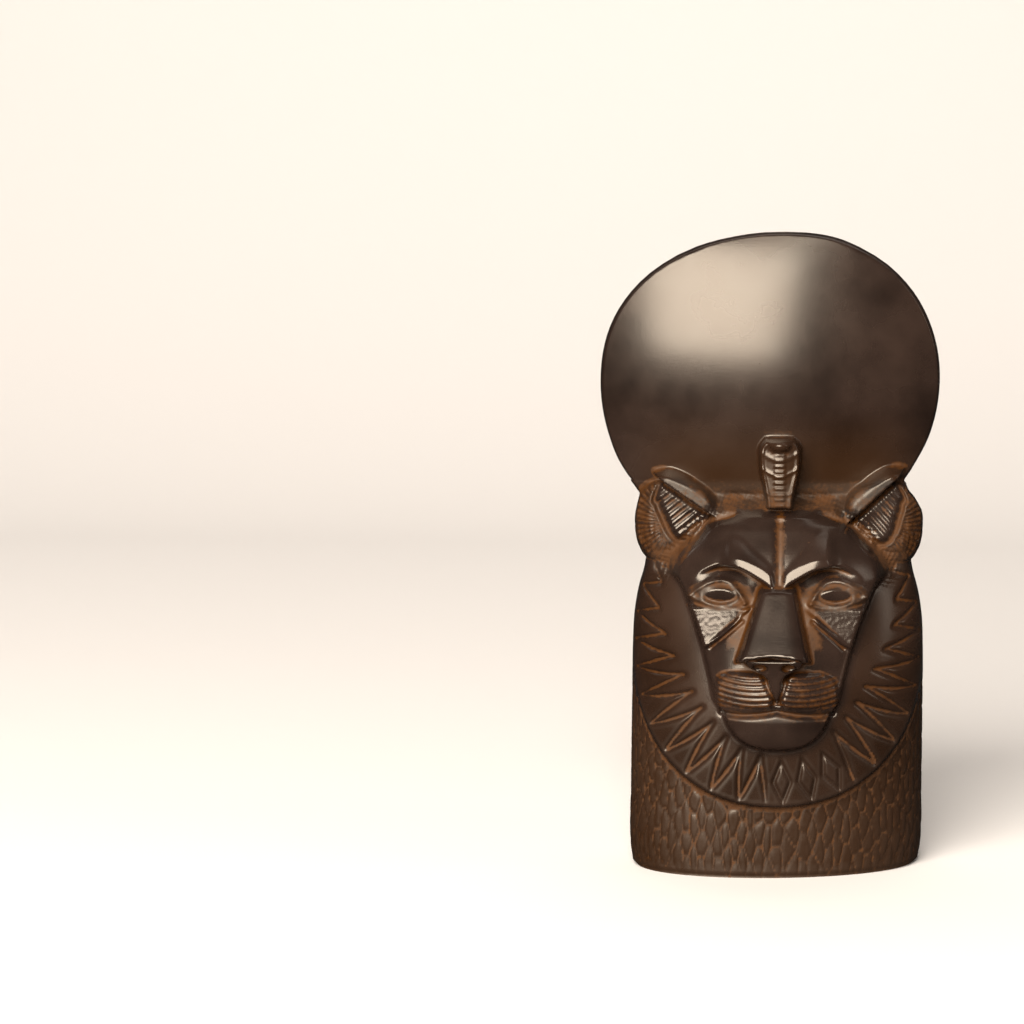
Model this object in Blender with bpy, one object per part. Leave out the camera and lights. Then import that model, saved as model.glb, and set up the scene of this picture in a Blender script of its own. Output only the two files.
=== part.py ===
"""A palm-sized bust of a lioness-headed figure with a sun disk, cast in one pour.

The whole casting is one skin. Rows run up the figure from the foot to the top of the disk,
columns run once round it, and each point starts on a plain oval column that turns into a
lens above the head. The carving then moves the points: forward on the face, the ears, the
ruff and the cobra, and in and out along the skin on the locks of hair.

Sizes are in millimetres, and MM turns them into metres at the end. X runs across the
figure, Y runs back, Z runs up, and "forward" means towards -Y, where the lioness looks.
"""

import bpy
import numpy as np

MM = 0.001

# The whole figure
HEIGHT = 150.0
FOOT_ROUNDING = 0.9
FOOT_FLAT = 0.12
FOOT_SKEW = 0.12

# The sun disk, a lens whose upper half is a little flattened
DISK_CENTRE_Z = 115.0
DISK_RADIUS = 40.0
DISK_ROUNDNESS_ABOVE = 2.15
DISK_SIDE_HEIGHTS = (84.0, 86.8, 88.0, 88.8, 90.2, 91.2, 94.0, 102.0, 115.0, 133.0, 142.0, 147.0, 150.0)
DISK_SIDE_SHIFTS = (0.0, -0.35, -0.65, -1.3, -2.2, -2.7, -2.9, -2.6, -2.4, -2.1, -1.4, -0.5, 1.0)
DISK_RIM = 3.4
DISK_BULGE = 8.2
DISK_SET_BACK = 1.5
DISK_EDGE = 0.8
DISK_START_Z = 85.0
DISK_FULL_Z = 89.0

# The ruff, a raised collar round the face
RUFF_CENTRE_Z = 54.0
RUFF_HALF_WIDTH = 34.6
RUFF_HALF_HEIGHT = 36.6
RUFF_ROUNDNESS = 2.2
RUFF_LIFT = 2.1
TUFT_COUNT = 33
TUFT_DEPTH = 0.75
TUFT_OUTER = 0.965
LOZENGE_HALF_WIDTH = 2.0
LOZENGE_HALF_LENGTH = 4.7

# The head and face
CHIN_Z = 31.6
CHIN_RADIUS = 12.4
FOREHEAD_TOP_Z = 84.8
EYE_X = 13.3
EYE_Z = 66.8
EYE_HALF_WIDTH = 3.5
EYE_HALF_HEIGHT = 1.6
EYE_LEVEL = 22.5
CREASE_TOP = (8.4, 62.2)
CREASE_ACROSS = (0.668, 0.744)
CREASE_LENGTH = 10.4
NOSE_TIP_Z = 53.6
BRIDGE_TOP_Z = 68.6
NOSE_HALF_WIDTHS = (3.9, 7.9)
NOSE_SKEW = -0.8
NOSE_REACH = 36.0
PAD_Z = 45.1
MOUTH_Z = 40.3
MUZZLE_REACH = 31.5
WHISKER_PITCH = 1.3

# The ears; where two values stand together, the first is the ear at -X
EAR_CENTRE = (24.5, 82.2)
EAR_HALF_SIZES = (9.5, 9.8)
EAR_FOLD_MIDDLES = ((21.4, 87.9), (22.3, 88.0))
EAR_FOLD_SLOPES = (33.6, 42.4)
EAR_RIB_LEANS = (18.0, 0.0)
EAR_RIB_PITCH = 1.62
EAR_FLUTES = 44

# The cobra in front of the disk
COBRA_BOTTOM_Z = 86.3
COBRA_TOP_Z = 102.2
COBRA_HALF_WIDTHS = (3.1, 4.8)
COBRA_BARS = (89.2, 94.0, 97.6)
COBRA_RUNG_PITCH = 1.3

# The locks of hair on the column
LOCK_COUNT = 64
LOCK_LENGTH = 7.5
LOCK_DEPTH = 0.4
LOCK_UNEVENNESS = 0.24
LOCK_POINTEDNESS = 1.5
LOCK_SEED = 11

# The resin
RESIN_COLOUR = (0.030, 0.018, 0.013, 1.0)
RESIN_ROUGHNESS = 0.34

# The skin's rows and columns before it is thinned, and what it is thinned to
COLUMNS = 400
ROWS = 400
SPACING_OVAL = (34.0, 24.0)
TRIANGLES = 9600


def ramp(low, high, value):
    """0 below low and 1 above high, with an S-shaped rise between."""
    t = np.clip((value - low) / (high - low), 0.0, 1.0)
    return t * t * (3.0 - 2.0 * t)


def bell(distance, width):
    """e to the minus (distance over width) squared: 1 at no distance, fading both ways."""
    return np.exp(-(distance / width) ** 2)


def larger(a, b, soft):
    """The larger of two heights, the line where they meet rounded over soft."""
    share = np.clip(0.5 + 0.5 * (a - b) / soft, 0.0, 1.0)
    return b + (a - b) * share + soft * share * (1.0 - share)


def blend(a, b, share):
    """a where share is 0, b where it is 1, and a straight mixture between."""
    return a + (b - a) * share


def through(value, knots, heights):
    """A cubic through each named point, with the slope of its neighbours, level at the ends."""
    knots = np.asarray(knots, float)
    heights = np.asarray(heights, float)
    slopes = np.gradient(heights, knots)
    slopes[0] = 0.0
    slopes[-1] = 0.0
    value = np.clip(value, knots[0], knots[-1])
    i = np.clip(np.searchsorted(knots, value, side="right") - 1, 0, len(knots) - 2)
    gap = knots[i + 1] - knots[i]
    t = (value - knots[i]) / gap
    return ((2 * t**3 - 3 * t**2 + 1) * heights[i] + (t**3 - 2 * t**2 + t) * gap * slopes[i]
            + (3 * t**2 - 2 * t**3) * heights[i + 1] + (t**3 - t**2) * gap * slopes[i + 1])


def stroke(x, z, start, end):
    """Distance from a straight stroke, and the share of its length at the nearest point."""
    dx = end[0] - start[0]
    dz = end[1] - start[1]
    share = np.clip(((x - start[0]) * dx + (z - start[1]) * dz) / (dx * dx + dz * dz), 0.0, 1.0)
    return np.hypot(x - start[0] - share * dx, z - start[1] - share * dz), share


def arc(x, z, start, middle, end, pieces=8):
    """Distance from a parabola through three points, taken as a chain of straight strokes."""
    start, middle, end = (np.asarray(p, float) for p in (start, middle, end))
    handle = 2.0 * middle - 0.5 * (start + end)
    nearest = np.full(np.shape(x), 1e9)
    share = np.zeros(np.shape(x))
    for k in range(pieces):
        ends = []
        for t in (k / pieces, (k + 1) / pieces):
            ends.append((1 - t) ** 2 * start + 2 * t * (1 - t) * handle + t * t * end)
        distance, part = stroke(x, z, ends[0], ends[1])
        closer = distance < nearest
        nearest = np.where(closer, distance, nearest)
        share = np.where(closer, (k + part) / pieces, share)
    return nearest, share


def column_half_width(z):
    """Half the width seen from the front, without ears and disk."""
    return through(z, (0, 4, 20, 40, 52, 60, 66, 70, 72.5, 80, 90),
                   (34.0, 34.5, 34.6, 34.5, 34.4, 34.0, 33.0, 31.9, 31.4, 31.0, 31.0))


def column_front(z):
    """How far the plain oval reaches forward of the middle."""
    return through(z, (0, 15, 30, 45, 60, 72, 84, 90), (22.3, 23.2, 24.0, 23.5, 20.5, 17.0, 12.5, 11.0))


def column_back(z):
    """How far the plain oval reaches back of the middle."""
    return through(z, (0, 50, 66, 76, 84, 92), (24.5, 24.3, 22.5, 19.0, 15.0, 11.0))


def disk_half_width(z):
    """A circle below the disk's centre, and above it the arch 1 = (x/r)^p + (z/h)^p."""
    below = np.sqrt(np.clip(DISK_RADIUS**2 - (z - DISK_CENTRE_Z) ** 2, 0.0, None))
    rise = np.clip((z - DISK_CENTRE_Z) / (HEIGHT - DISK_CENTRE_Z), 0.0, 1.0)
    above = DISK_RADIUS * (1.0 - rise**DISK_ROUNDNESS_ABOVE) ** (1.0 / DISK_ROUNDNESS_ABOVE)
    return np.where(z < DISK_CENTRE_Z, below, above)


def disk_thickness(z, sine):
    """Half the thickness: a rim rounded by a quarter circle, plus a parabola's bulge."""
    rise = (z - DISK_CENTRE_Z) / np.where(z < DISK_CENTRE_Z, DISK_RADIUS, HEIGHT - DISK_CENTRE_Z)
    inward = sine**2 * np.clip(1.0 - rise**2, 0.0, 1.0)
    from_edge = DISK_RADIUS * (1.0 - np.sqrt(1.0 - inward))
    round_edge = np.sqrt(1.0 - (1.0 - np.clip(from_edge / DISK_EDGE, 0.0, 1.0)) ** 2)
    return DISK_RIM * round_edge + DISK_BULGE * inward


def disk_side_shift(z):
    """The disk sits a little to one side, and its top leans back the other way."""
    return through(z, DISK_SIDE_HEIGHTS, DISK_SIDE_SHIFTS)


def ear_reach(z):
    """How far from the middle the ears' outline reaches at this height."""
    return through(z, (71.5, 73.1, 74.4, 76.0, 77.5, 80.5, 84.7, 86.8, 88.0, 88.8, 90.2, 91.0, 92.5),
                   (30.0, 31.6, 32.6, 33.3, 33.7, 34.1, 33.7, 32.9, 32.4, 32.3, 32.4, 32.5, 30.0))


def ruff_radius(x, z):
    """The p-th root of |x/a|^p + |z/b|^p: 1 on the ruff's edge, smaller inside it."""
    across = np.abs(x) / RUFF_HALF_WIDTH
    along = np.abs(z - RUFF_CENTRE_Z) / RUFF_HALF_HEIGHT
    return (across**RUFF_ROUNDNESS + along**RUFF_ROUNDNESS) ** (1.0 / RUFF_ROUNDNESS)


def zigzag(turns):
    """A triangle wave: twice the distance from the nearest whole number."""
    return np.abs(2.0 * (turns - np.floor(turns + 0.5)))


def tufts(x, z):
    """Grooves between the tufts, 0 to 1: a bell round the zigzag, or round a lozenge."""
    radius = ruff_radius(x, z)
    degrees = np.degrees(np.arctan2(x, RUFF_CENTRE_Z - z))
    inner = through(np.abs(degrees), (0, 20, 40, 55, 66, 77, 83, 93, 103, 114, 130),
                    (0.68, 0.66, 0.62, 0.615, 0.633, 0.661, 0.694, 0.746, 0.806, 0.845, 0.88))
    turns = (degrees - 2.4) * TUFT_COUNT / 360.0
    position = (TUFT_OUTER - radius) / (TUFT_OUTER - inner)
    slope = 2.0 * (TUFT_OUTER - inner) * RUFF_HALF_HEIGHT / (6.3 * radius + 0.2)
    across = (position - 1.0 + zigzag(turns)) * (TUFT_OUTER - inner) * RUFF_HALF_HEIGHT / np.hypot(1.0, slope)
    points = bell(across, 0.5) * ramp(-0.12, 0.05, position) * ramp(1.12, 1.0, position)

    sideways = (turns - np.round(turns)) * np.radians(360.0 / TUFT_COUNT) * radius * RUFF_HALF_HEIGHT
    upward = (radius - 0.835) * RUFF_HALF_HEIGHT
    diamond = np.abs(sideways) / LOZENGE_HALF_WIDTH + np.abs(upward) / LOZENGE_HALF_LENGTH
    lozenges = bell((diamond - 1.0) * LOZENGE_HALF_WIDTH, 0.45)
    here = ramp(-5.0, -3.0, degrees) * ramp(31.0, 29.5, degrees)
    return blend(points, lozenges, here) * ramp(74.0, 70.0, z)


def ruff(x, z, height):
    """The collar: a step up at its edge, less the tufts' grooves."""
    inside = ramp(1.012, 0.985, ruff_radius(x, z))
    return height + inside * (RUFF_LIFT * ramp(80.0, 45.0, z) - TUFT_DEPTH * tufts(x, z))


def face_half_width(z):
    """Half the width of the raised plane at each height."""
    return through(z, (31.4, 33.0, 37.0, 41.0, 48.0, 56.0, 62.0, 67.0, 71.0, 75.0, 79.0, 82.0, 85.2),
                   (3.0, 7.6, 11.4, 13.6, 15.3, 17.5, 19.6, 21.6, 23.6, 22.4, 18.6, 15.6, 9.0))


def face_gap(x, z):
    """Distance outward from the edge of the face: a chin's arc below, cheek edges above."""
    side = np.abs(x)
    arch = ((side / CHIN_RADIUS) ** 2.4
            + (np.abs(z - CHIN_Z - CHIN_RADIUS) / CHIN_RADIUS) ** 2.4) ** (1.0 / 2.4)
    return blend(CHIN_RADIUS * (arch - 1.0), 0.94 * (side - face_half_width(z)), ramp(38.0, 43.0, z))


def face_plane(x, z, height):
    """The plane: its middle line less (side / half width)^2.8."""
    side = np.abs(x)
    gap = face_gap(x, z)

    centre = through(z, (30, 33, 38, 44, 50, 58, 64, 66.5, 69, 76, 81, 85.5),
                     (27.2, 29.0, 30.0, 29.2, 27.7, 26.5, 26.2, 26.3, 25.4, 21.8, 18.3, 15.2))
    drop = through(z, (30, 40, 50, 60, 70, 78, 86), (1.6, 3.6, 3.7, 4.4, 7.6, 6.4, 3.0))
    plane = centre - drop * (side / face_half_width(np.maximum(z, 36.0))) ** 2.8
    firmness = blend(0.8, 2.6, ramp(67.0, 73.0, z))
    inside = ramp(firmness, -0.5 * firmness, gap) * ramp(FOREHEAD_TOP_Z + 1.2, FOREHEAD_TOP_Z - 0.8, z)
    lip = 0.3 * bell(gap + 0.3, 0.4) * ramp(34.0, 40.0, z) * ramp(69.0, 65.0, z)
    return blend(height, larger(height, plane, 0.6), inside) + lip


def brows(x, z, height):
    """A bell along the brow line, and a scoop below it that fades at the temple."""
    side = np.abs(x)
    brow_z = through(side, (0.0, 1.5, 5.0, 9.0, 12.0, 17.0, 22.0), (67.8, 69.0, 71.2, 73.2, 73.6, 72.2, 69.5))
    beneath = ramp(0.8, -0.9, z - brow_z) * ramp(60.0, 66.5, z) * ramp(1.0, 4.0, side)
    beneath = beneath * ramp(20.5, 9.0, side)
    corner = bell(side - 6.4, 2.4) * bell(z - 68.8, 2.6)
    height = height - (2.6 + 0.3 * np.clip(z - 66.5, 0.0, None)) * beneath - corner
    crest_z = through(side, (0.0, 2.0, 9.0, 14.0), (72.1, 72.6, 75.2, 75.0))
    roll = bell(z - crest_z, 2.0) * ramp(-1.0, 0.2, z - brow_z) * ramp(0.3, 1.8, side)
    return height + roll * ramp(17.0, 8.0, side)


def eyes(x, z, height):
    """Lids are bells along two arcs, with a ring inside them round a low, dim ball."""
    side = np.abs(x)
    lid_top, _ = arc(side, z, (7.6, 65.3), (12.8, 70.2), (20.6, 66.6))
    lid_low, _ = arc(side, z, (7.6, 65.3), (13.0, 63.9), (20.6, 66.6))
    height = height + 0.95 * bell(lid_top, 0.62) + 0.85 * bell(lid_low, 0.62)
    from_middle = np.hypot((side - EYE_X) / EYE_HALF_WIDTH, (z - EYE_Z) / EYE_HALF_HEIGHT)
    swell = np.sqrt(np.clip(1.0 - from_middle**2, 0.0, None))
    ball = EYE_LEVEL - 0.12 * (side - EYE_X) + 0.12 * (z - EYE_Z) + 0.25 * swell
    height = blend(height, ball, ramp(1.25, 0.95, from_middle))
    return height + 0.55 * bell((from_middle - 1.3) * EYE_HALF_HEIGHT, 0.35)


def cheeks(x, z, height):
    """A flat facet under the eye, bounded below by a thin ridge and a groove."""
    side = np.abs(x)
    right = side - CREASE_TOP[0]
    up = z - CREASE_TOP[1]
    along = right * CREASE_ACROSS[1] - up * CREASE_ACROSS[0]
    under = right * CREASE_ACROSS[0] + up * CREASE_ACROSS[1]
    patch = ramp(-0.3, 0.3, under) * ramp(0.3, -0.5, face_gap(x, z))
    patch = patch * ramp(64.8, 63.6, z) * ramp(53.0, 55.0, z)
    facet = 24.2 - np.where(x < 0.0, 0.16, 0.04) * (side - 14.0) - 0.17 * (z - 60.0)
    on_line = ramp(-0.3, 0.5, along) * ramp(CREASE_LENGTH + 0.5, CREASE_LENGTH - 0.4, along)
    height = blend(height, facet, patch)
    return height + (0.45 * bell(under, 0.4) - 0.6 * bell(under + 0.95, 0.4)) * on_line


def nose(x, z, height):
    """A bridge whose half width grows in a straight line down to the tip."""
    groove = bell(x - 0.3, 0.85) * ramp(BRIDGE_TOP_Z, BRIDGE_TOP_Z + 1.0, z) * ramp(84.5, 83.0, z)
    height = height - 0.6 * groove
    down = np.clip((BRIDGE_TOP_Z - z) / (BRIDGE_TOP_Z - NOSE_TIP_Z), 0.0, 1.15)
    side = np.abs(x - NOSE_SKEW * down)
    half = blend(NOSE_HALF_WIDTHS[0], NOSE_HALF_WIDTHS[1], down)
    ridge = blend(26.6, NOSE_REACH, down) - 0.9 * (side / half) ** 4
    tip_z = NOSE_TIP_Z + 0.5 - 1.3 * (side / 7.7) ** 2
    here = ramp(0.75, -0.75, side - half) * ramp(BRIDGE_TOP_Z + 0.5, BRIDGE_TOP_Z - 0.6, z)
    here = here * ramp(tip_z - 1.0, tip_z + 0.5, z)
    return blend(height, np.maximum(ridge, height), here)


def beside_wedge(x, z):
    """Distance outward from the plain wedge that runs down from the nose to the mouth."""
    half = through(z, (42.8, 45.0, 49.6, 51.2, 54.0), (0.3, 1.1, 2.9, 5.6, 6.9))
    return np.abs(x - NOSE_SKEW * ramp(42.0, 54.0, z)) - half


def muzzle(x, z, height):
    """Two rounded pads, a wedge between them, pits for nostrils and cosine whisker grooves."""
    side = np.abs(x - NOSE_SKEW * ramp(42.0, 54.0, z))
    beside = beside_wedge(x, z)
    leather = ramp(0.5, -0.5, beside) * ramp(42.4, 43.6, z) * ramp(54.2, 53.0, z)
    pad = 1.0 - np.abs((side - 7.4) / 7.2) ** 2.6 - np.abs((z - PAD_Z) / 4.9) ** 2.6
    pads = MUZZLE_REACH - 4.2 * (side / 14.0) ** 2 - 0.08 * (z - PAD_Z) ** 2
    height = blend(height, pads, ramp(0.0, 0.35, pad))
    height = blend(height, MUZZLE_REACH + 0.26 * (z - 45.0), leather)
    pit = np.hypot((side - 3.4) / 2.0, (z - 51.3) / 1.15)
    height = height - 2.4 * ramp(1.15, 0.5, pit)
    slot, _ = stroke(side, z, (2.9, 49.6), (0.4, 42.8))
    height = height - 1.0 * bell(slot, 0.5)

    bend = z - 0.02 * (side - 6.0) ** 2
    whiskers = 0.5 + 0.5 * np.cos(2.0 * np.pi * (bend - 45.4) / WHISKER_PITCH)
    on_pad = ramp(0.05, 0.35, pad) * ramp(0.2, 1.2, beside)
    height = height - 0.45 * whiskers * on_pad

    mouth, _ = arc(side, z, (0.0, MOUTH_Z + 0.5), (6.5, MOUTH_Z - 0.5), (12.6, MOUTH_Z - 0.4))
    return height - 1.7 * bell(mouth, 0.65)


def head_rim(x, z, height):
    """A bell-shaped groove just outside the forehead."""
    gap = np.maximum(z - FOREHEAD_TOP_Z, np.abs(x) - face_half_width(z))
    here = bell(gap - 2.2, 1.4) * ramp(66.5, 71.0, z) * ramp(92.0, 88.0, z)
    return height - 1.2 * here


def ear_cup_depth(u):
    """How far the ribbed cup reaches below the fold's edge, along that edge."""
    return through(u, (-7.4, -6.9, -5.4, -3.5, -0.4, 2.4, 5.0, 7.0, 7.8),
                   (0.0, 6.5, 9.2, 10.1, 9.4, 7.7, 6.0, 3.9, 0.0))


def ear_frame(x, z):
    """The ear's own coordinates: u along the fold's edge, v above it, and how it is leant."""
    side = np.abs(x)
    at_plus = np.where(x > 0.0, 1.0, 0.0)
    slope = np.radians(blend(EAR_FOLD_SLOPES[0], EAR_FOLD_SLOPES[1], at_plus))
    right = side - blend(EAR_FOLD_MIDDLES[0][0], EAR_FOLD_MIDDLES[1][0], at_plus)
    up = z - blend(EAR_FOLD_MIDDLES[0][1], EAR_FOLD_MIDDLES[1][1], at_plus)
    u = right * np.cos(slope) + up * np.sin(slope)
    v = up * np.cos(slope) - right * np.sin(slope)
    outline = (np.abs((side - EAR_CENTRE[0]) / EAR_HALF_SIZES[0]) ** 2.7
               + np.abs((z - EAR_CENTRE[1]) / EAR_HALF_SIZES[1]) ** 2.7) ** (1.0 / 2.7)
    along = u + 1.0 * at_plus
    bank = (ear_cup_depth(along + 0.1) - ear_cup_depth(along - 0.1)) / 0.2
    edge = (ear_cup_depth(along) + v) / np.hypot(1.0, bank)
    return u, v, outline, edge, at_plus


def ear_flutes(side, z):
    """Cosine waves round the ear's middle, 1 in the bottom of each flute."""
    return 0.5 + 0.5 * np.cos(EAR_FLUTES * np.arctan2(z - EAR_CENTRE[1], side - EAR_CENTRE[0]))


def ears(x, z, height):
    """The fringe falls off outward, fluted; the cup is a tilted plane of cosine ribs."""
    side = np.abs(x)
    u, v, outline, edge, at_plus = ear_frame(x, z)
    level = 12.4 - 0.30 * (side - 16.0)
    fringe = level + 0.5 - 2.2 * ramp(0.6, 1.0, outline)
    fringe = fringe - 0.5 * ear_flutes(side, z) * ramp(0.0, -1.0, edge)

    lean = np.radians(blend(EAR_RIB_LEANS[0], EAR_RIB_LEANS[1], at_plus))
    rib_turns = (u * np.cos(lean) + v * np.sin(lean)) / EAR_RIB_PITCH
    ribs = 0.5 - 0.5 * np.cos(2.0 * np.pi * rib_turns)
    floor = 9.5 - 0.22 * (z - 82.0) - 1.3 * ramp(1.9, 0.2, edge) - 1.0 * ramp(-1.6, 0.0, v)
    cup = floor + 0.45 * ribs * ramp(0.1, 0.9, edge) * ramp(-0.2, -1.2, v)

    top = through(u, (-8.5, -5.5, 0.0, 4.0, 7.0, 10.5), (0.6, 2.4, 3.2, 3.0, 2.2, 0.0))
    in_fold = ramp(-0.15, 0.15, v) * ramp(1.3, -0.9, v - top)
    in_fold = in_fold * ramp(-9.5, -6.0, u) * ramp(10.5, 8.0, u)
    fold = 11.5 - 0.10 * (side - 22.0) - 0.03 * v - 2.5 * ramp(5.0, 11.0, u)

    shape = blend(fringe, cup, ramp(-0.6, 0.3, edge) * ramp(0.1, -0.1, v))
    height = blend(height, shape, ramp(1.0, 0.93, outline))
    return blend(height, np.maximum(fold, height), in_fold)


def cobra(x, z, height):
    """A shield laid over the disk, with bells for its border and bars and cosines for rungs."""
    up = np.clip((z - COBRA_BOTTOM_Z) / (COBRA_TOP_Z - COBRA_BOTTOM_Z), 0.0, 1.0)
    half = blend(COBRA_HALF_WIDTHS[0], COBRA_HALF_WIDTHS[1], ramp(0.0, 0.7, up))
    half = half * np.sqrt(np.clip(1.0 - np.clip((z - 99.2) / 3.9, 0.0, 1.0) ** 2, 0.0, 1.0))
    offset = np.abs(x - 0.2)
    level = 16.2 - 0.02 * (z - COBRA_BOTTOM_Z) - 0.05 * offset**2
    inside = ramp(0.45, -0.45, offset - half) * ramp(COBRA_BOTTOM_Z - 0.9, COBRA_BOTTOM_Z + 0.3, z)
    inside = inside * ramp(COBRA_TOP_Z + 0.4, COBRA_TOP_Z - 0.4, z)
    border = 0.45 * bell(offset - half + 0.75, 0.35)
    ladder = ramp(1.5, 1.1, offset) * (0.5 + 0.5 * np.cos(2.0 * np.pi * z / COBRA_RUNG_PITCH))
    level = level - 0.35 + border + 0.45 * ladder * ramp(99.5, 98.5, z)
    for bar_z in COBRA_BARS:
        level = level + 0.35 * bell(z - bar_z - 0.1 * offset**2, 0.3)
    head = 1.0 - ((x - 0.2) / 2.6) ** 2 - ((z - 101.2) / 1.7) ** 2
    level = level + 2.3 * np.sqrt(np.clip(head, 0.0, None))
    return blend(height, np.maximum(level, height), inside)


def locks(turns, z):
    """A bell of (second nearest - nearest distance) to the lattice's moved points."""
    rows = int(HEIGHT / LOCK_LENGTH) + 3
    moves = np.random.default_rng(LOCK_SEED).uniform(-1.0, 1.0, (2, LOCK_COUNT, rows)) * LOCK_UNEVENNESS
    across = turns * LOCK_COUNT
    along = z / LOCK_LENGTH + 1.0
    first = np.full(np.broadcast(across, along).shape, 9.0)
    second = first.copy()
    for k in (-1, 0, 1):
        column = np.floor(across).astype(int) + k
        wrapped = np.mod(column, LOCK_COUNT)
        stagger = 0.5 * np.mod(wrapped, 2)
        for m in (-1, 0, 1):
            row = np.floor(along - stagger).astype(int) + m
            kept = np.clip(row, 0, rows - 1)
            dx = across - (column + 0.5 + moves[0, wrapped, kept])
            dz = along - stagger - (row + 0.5 + moves[1, wrapped, kept])
            distance = np.hypot(dx, LOCK_POINTEDNESS * dz)
            second = np.minimum(second, np.maximum(first, distance))
            first = np.minimum(first, distance)
    return bell(second - first, 0.22)


def around():
    """Where the columns stand round the figure, and how many turns of locks lie before each."""
    turn = np.linspace(0.0, 2.0 * np.pi, 4001)
    step_round = np.hypot(SPACING_OVAL[0] * np.sin(turn), SPACING_OVAL[1] * np.cos(turn))
    finer_in_front = 1.0 + 1.5 * ramp(-0.1, 0.1, np.sin(turn))
    finest_at_face = 1.3 * ramp(0.78, 0.86, np.sin(turn))
    density = step_round * (finer_in_front + finest_at_face)
    steps = np.concatenate(([0.0], np.cumsum(0.5 * (density[1:] + density[:-1]))))
    angle = np.interp(np.linspace(0.0, steps[-1], COLUMNS, endpoint=False), steps, turn)
    lock_share = np.cumsum(step_round * finer_in_front)
    return angle, np.interp(angle, turn, lock_share / lock_share[-1])


def upward():
    """The heights of the rows, closer together on the head and along the disk's rim."""
    level = np.linspace(0.0, HEIGHT, 3001)
    width = np.maximum(column_half_width(level) * (level < 90.5), disk_half_width(level))
    length = np.hypot(np.diff(level), np.diff(width) * (level[1:] > 90.5))
    centre = 0.5 * (level[1:] + level[:-1])
    length = length * (1.0 + 1.3 * ramp(24.0, 32.0, centre) * ramp(96.0, 90.0, centre))
    steps = np.concatenate(([0.0], np.cumsum(length)))
    return np.interp(np.linspace(0.0, steps[-1], ROWS), steps, level)


def skin(angle, lock_turns, z_rows):
    """Points (x, y, z) in millimetres: oval or lens, carved forward, locks cut inward."""
    z = z_rows[:, None] + 0.0 * angle[None, :]
    cosine = np.cos(angle)[None, :]
    sine = np.sin(angle)[None, :]

    half = larger(column_half_width(z) - 60.0 * ramp(89.5, 93.0, z), disk_half_width(z), 0.5)
    beside_ear = (z > 71.5) & (z < 92.5)
    widened = np.where(beside_ear, np.maximum(half, ear_reach(z)), half)
    half = blend(half, widened, ramp(-0.22, 0.05, sine))
    x = half * cosine + disk_side_shift(z)

    reach = np.where(sine > 0.0, column_front(z), column_back(z))
    fullness = np.where(sine > 0.0, blend(1.0, 0.85, ramp(60.0, 30.0, z)), 1.0)
    oval = reach * np.sign(sine) * np.abs(sine) ** fullness - FOOT_SKEW * x * ramp(50.0, 0.0, z)
    lens = np.sign(sine) * disk_thickness(z, sine) - DISK_SET_BACK
    height = blend(oval, lens, ramp(DISK_START_Z, DISK_FULL_Z, z))

    carved = height
    for carve in (ruff, ears, head_rim, face_plane, brows, eyes, cheeks, nose, muzzle, cobra):
        carved = carve(x, z, carved)
    height = blend(height, carved, ramp(0.0, 0.12, sine))

    below_ruff = ramp(0.99, 1.03, ruff_radius(x, z))
    haired = np.where(sine > 0.0, below_ruff, 1.0) * ramp(84.0, 78.0, z) * ramp(0.0, 3.0, z)
    groove = LOCK_DEPTH * haired * locks(lock_turns[None, :], z)
    foot = FOOT_ROUNDING * (1.0 - np.sqrt(1.0 - (1.0 - np.clip(z / FOOT_ROUNDING, 0.0, 1.0)) ** 2))
    x = x - (groove + foot) * cosine
    height = height - (groove + foot) * sine
    return np.stack((x, -height, z), axis=-1)


def closed_mesh(name, grid):
    """Join the rows into a skin that is closed at the foot and at the top."""
    rows, columns, _ = grid.shape
    points = grid.reshape(-1, 3)
    foot = np.append(points[:columns].mean(axis=0)[:2], 0.0)
    top = points[-columns:].mean(axis=0)
    points = np.vstack((points, foot, top))
    low, high = points.min(axis=0), points.max(axis=0)
    points = points - (0.5 * (low[0] + high[0]), 0.5 * (low[1] + high[1]), low[2])

    here = np.arange(columns)
    ahead = np.roll(here, -1)
    base = (np.arange(rows - 1) * columns)[:, None]
    quads = np.stack((base + here, base + ahead, base + columns + ahead, base + columns + here), axis=-1)
    last = (rows - 1) * columns
    faces = quads.reshape(-1, 4)[:, ::-1].tolist()
    faces += [(rows * columns, int(a), int(b)) for a, b in zip(here, ahead)]
    faces += [(rows * columns + 1, int(b + last), int(a + last)) for a, b in zip(here, ahead)]
    mesh = bpy.data.meshes.new(name)
    mesh.from_pydata((points * MM).tolist(), [], faces)
    mesh.update()
    return mesh


def cast_resin():
    """Dark brown cast resin with a wax sheen."""
    material = bpy.data.materials.new("waxed_brown_resin")
    material.use_nodes = True
    shader = material.node_tree.nodes["Principled BSDF"]
    shader.inputs["Base Color"].default_value = RESIN_COLOUR
    shader.inputs["Roughness"].default_value = RESIN_ROUGHNESS
    shader.inputs["Metallic"].default_value = 0.0
    return material


def thinned(bust):
    """The same skin in fewer triangles, most of them where it bends, on a truly flat foot."""
    thin = bust.modifiers.new("thin", "DECIMATE")
    thin.ratio = TRIANGLES / (2.0 * COLUMNS * ROWS)
    evaluated = bust.evaluated_get(bpy.context.evaluated_depsgraph_get())
    mesh = bpy.data.meshes.new_from_object(evaluated)
    bust.modifiers.remove(thin)
    points = np.empty(3 * len(mesh.vertices))
    mesh.vertices.foreach_get("co", points)
    heights = points[2::3]
    heights[heights < FOOT_FLAT * MM] = 0.0
    mesh.vertices.foreach_set("co", points)
    mesh.update()
    return mesh


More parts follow.
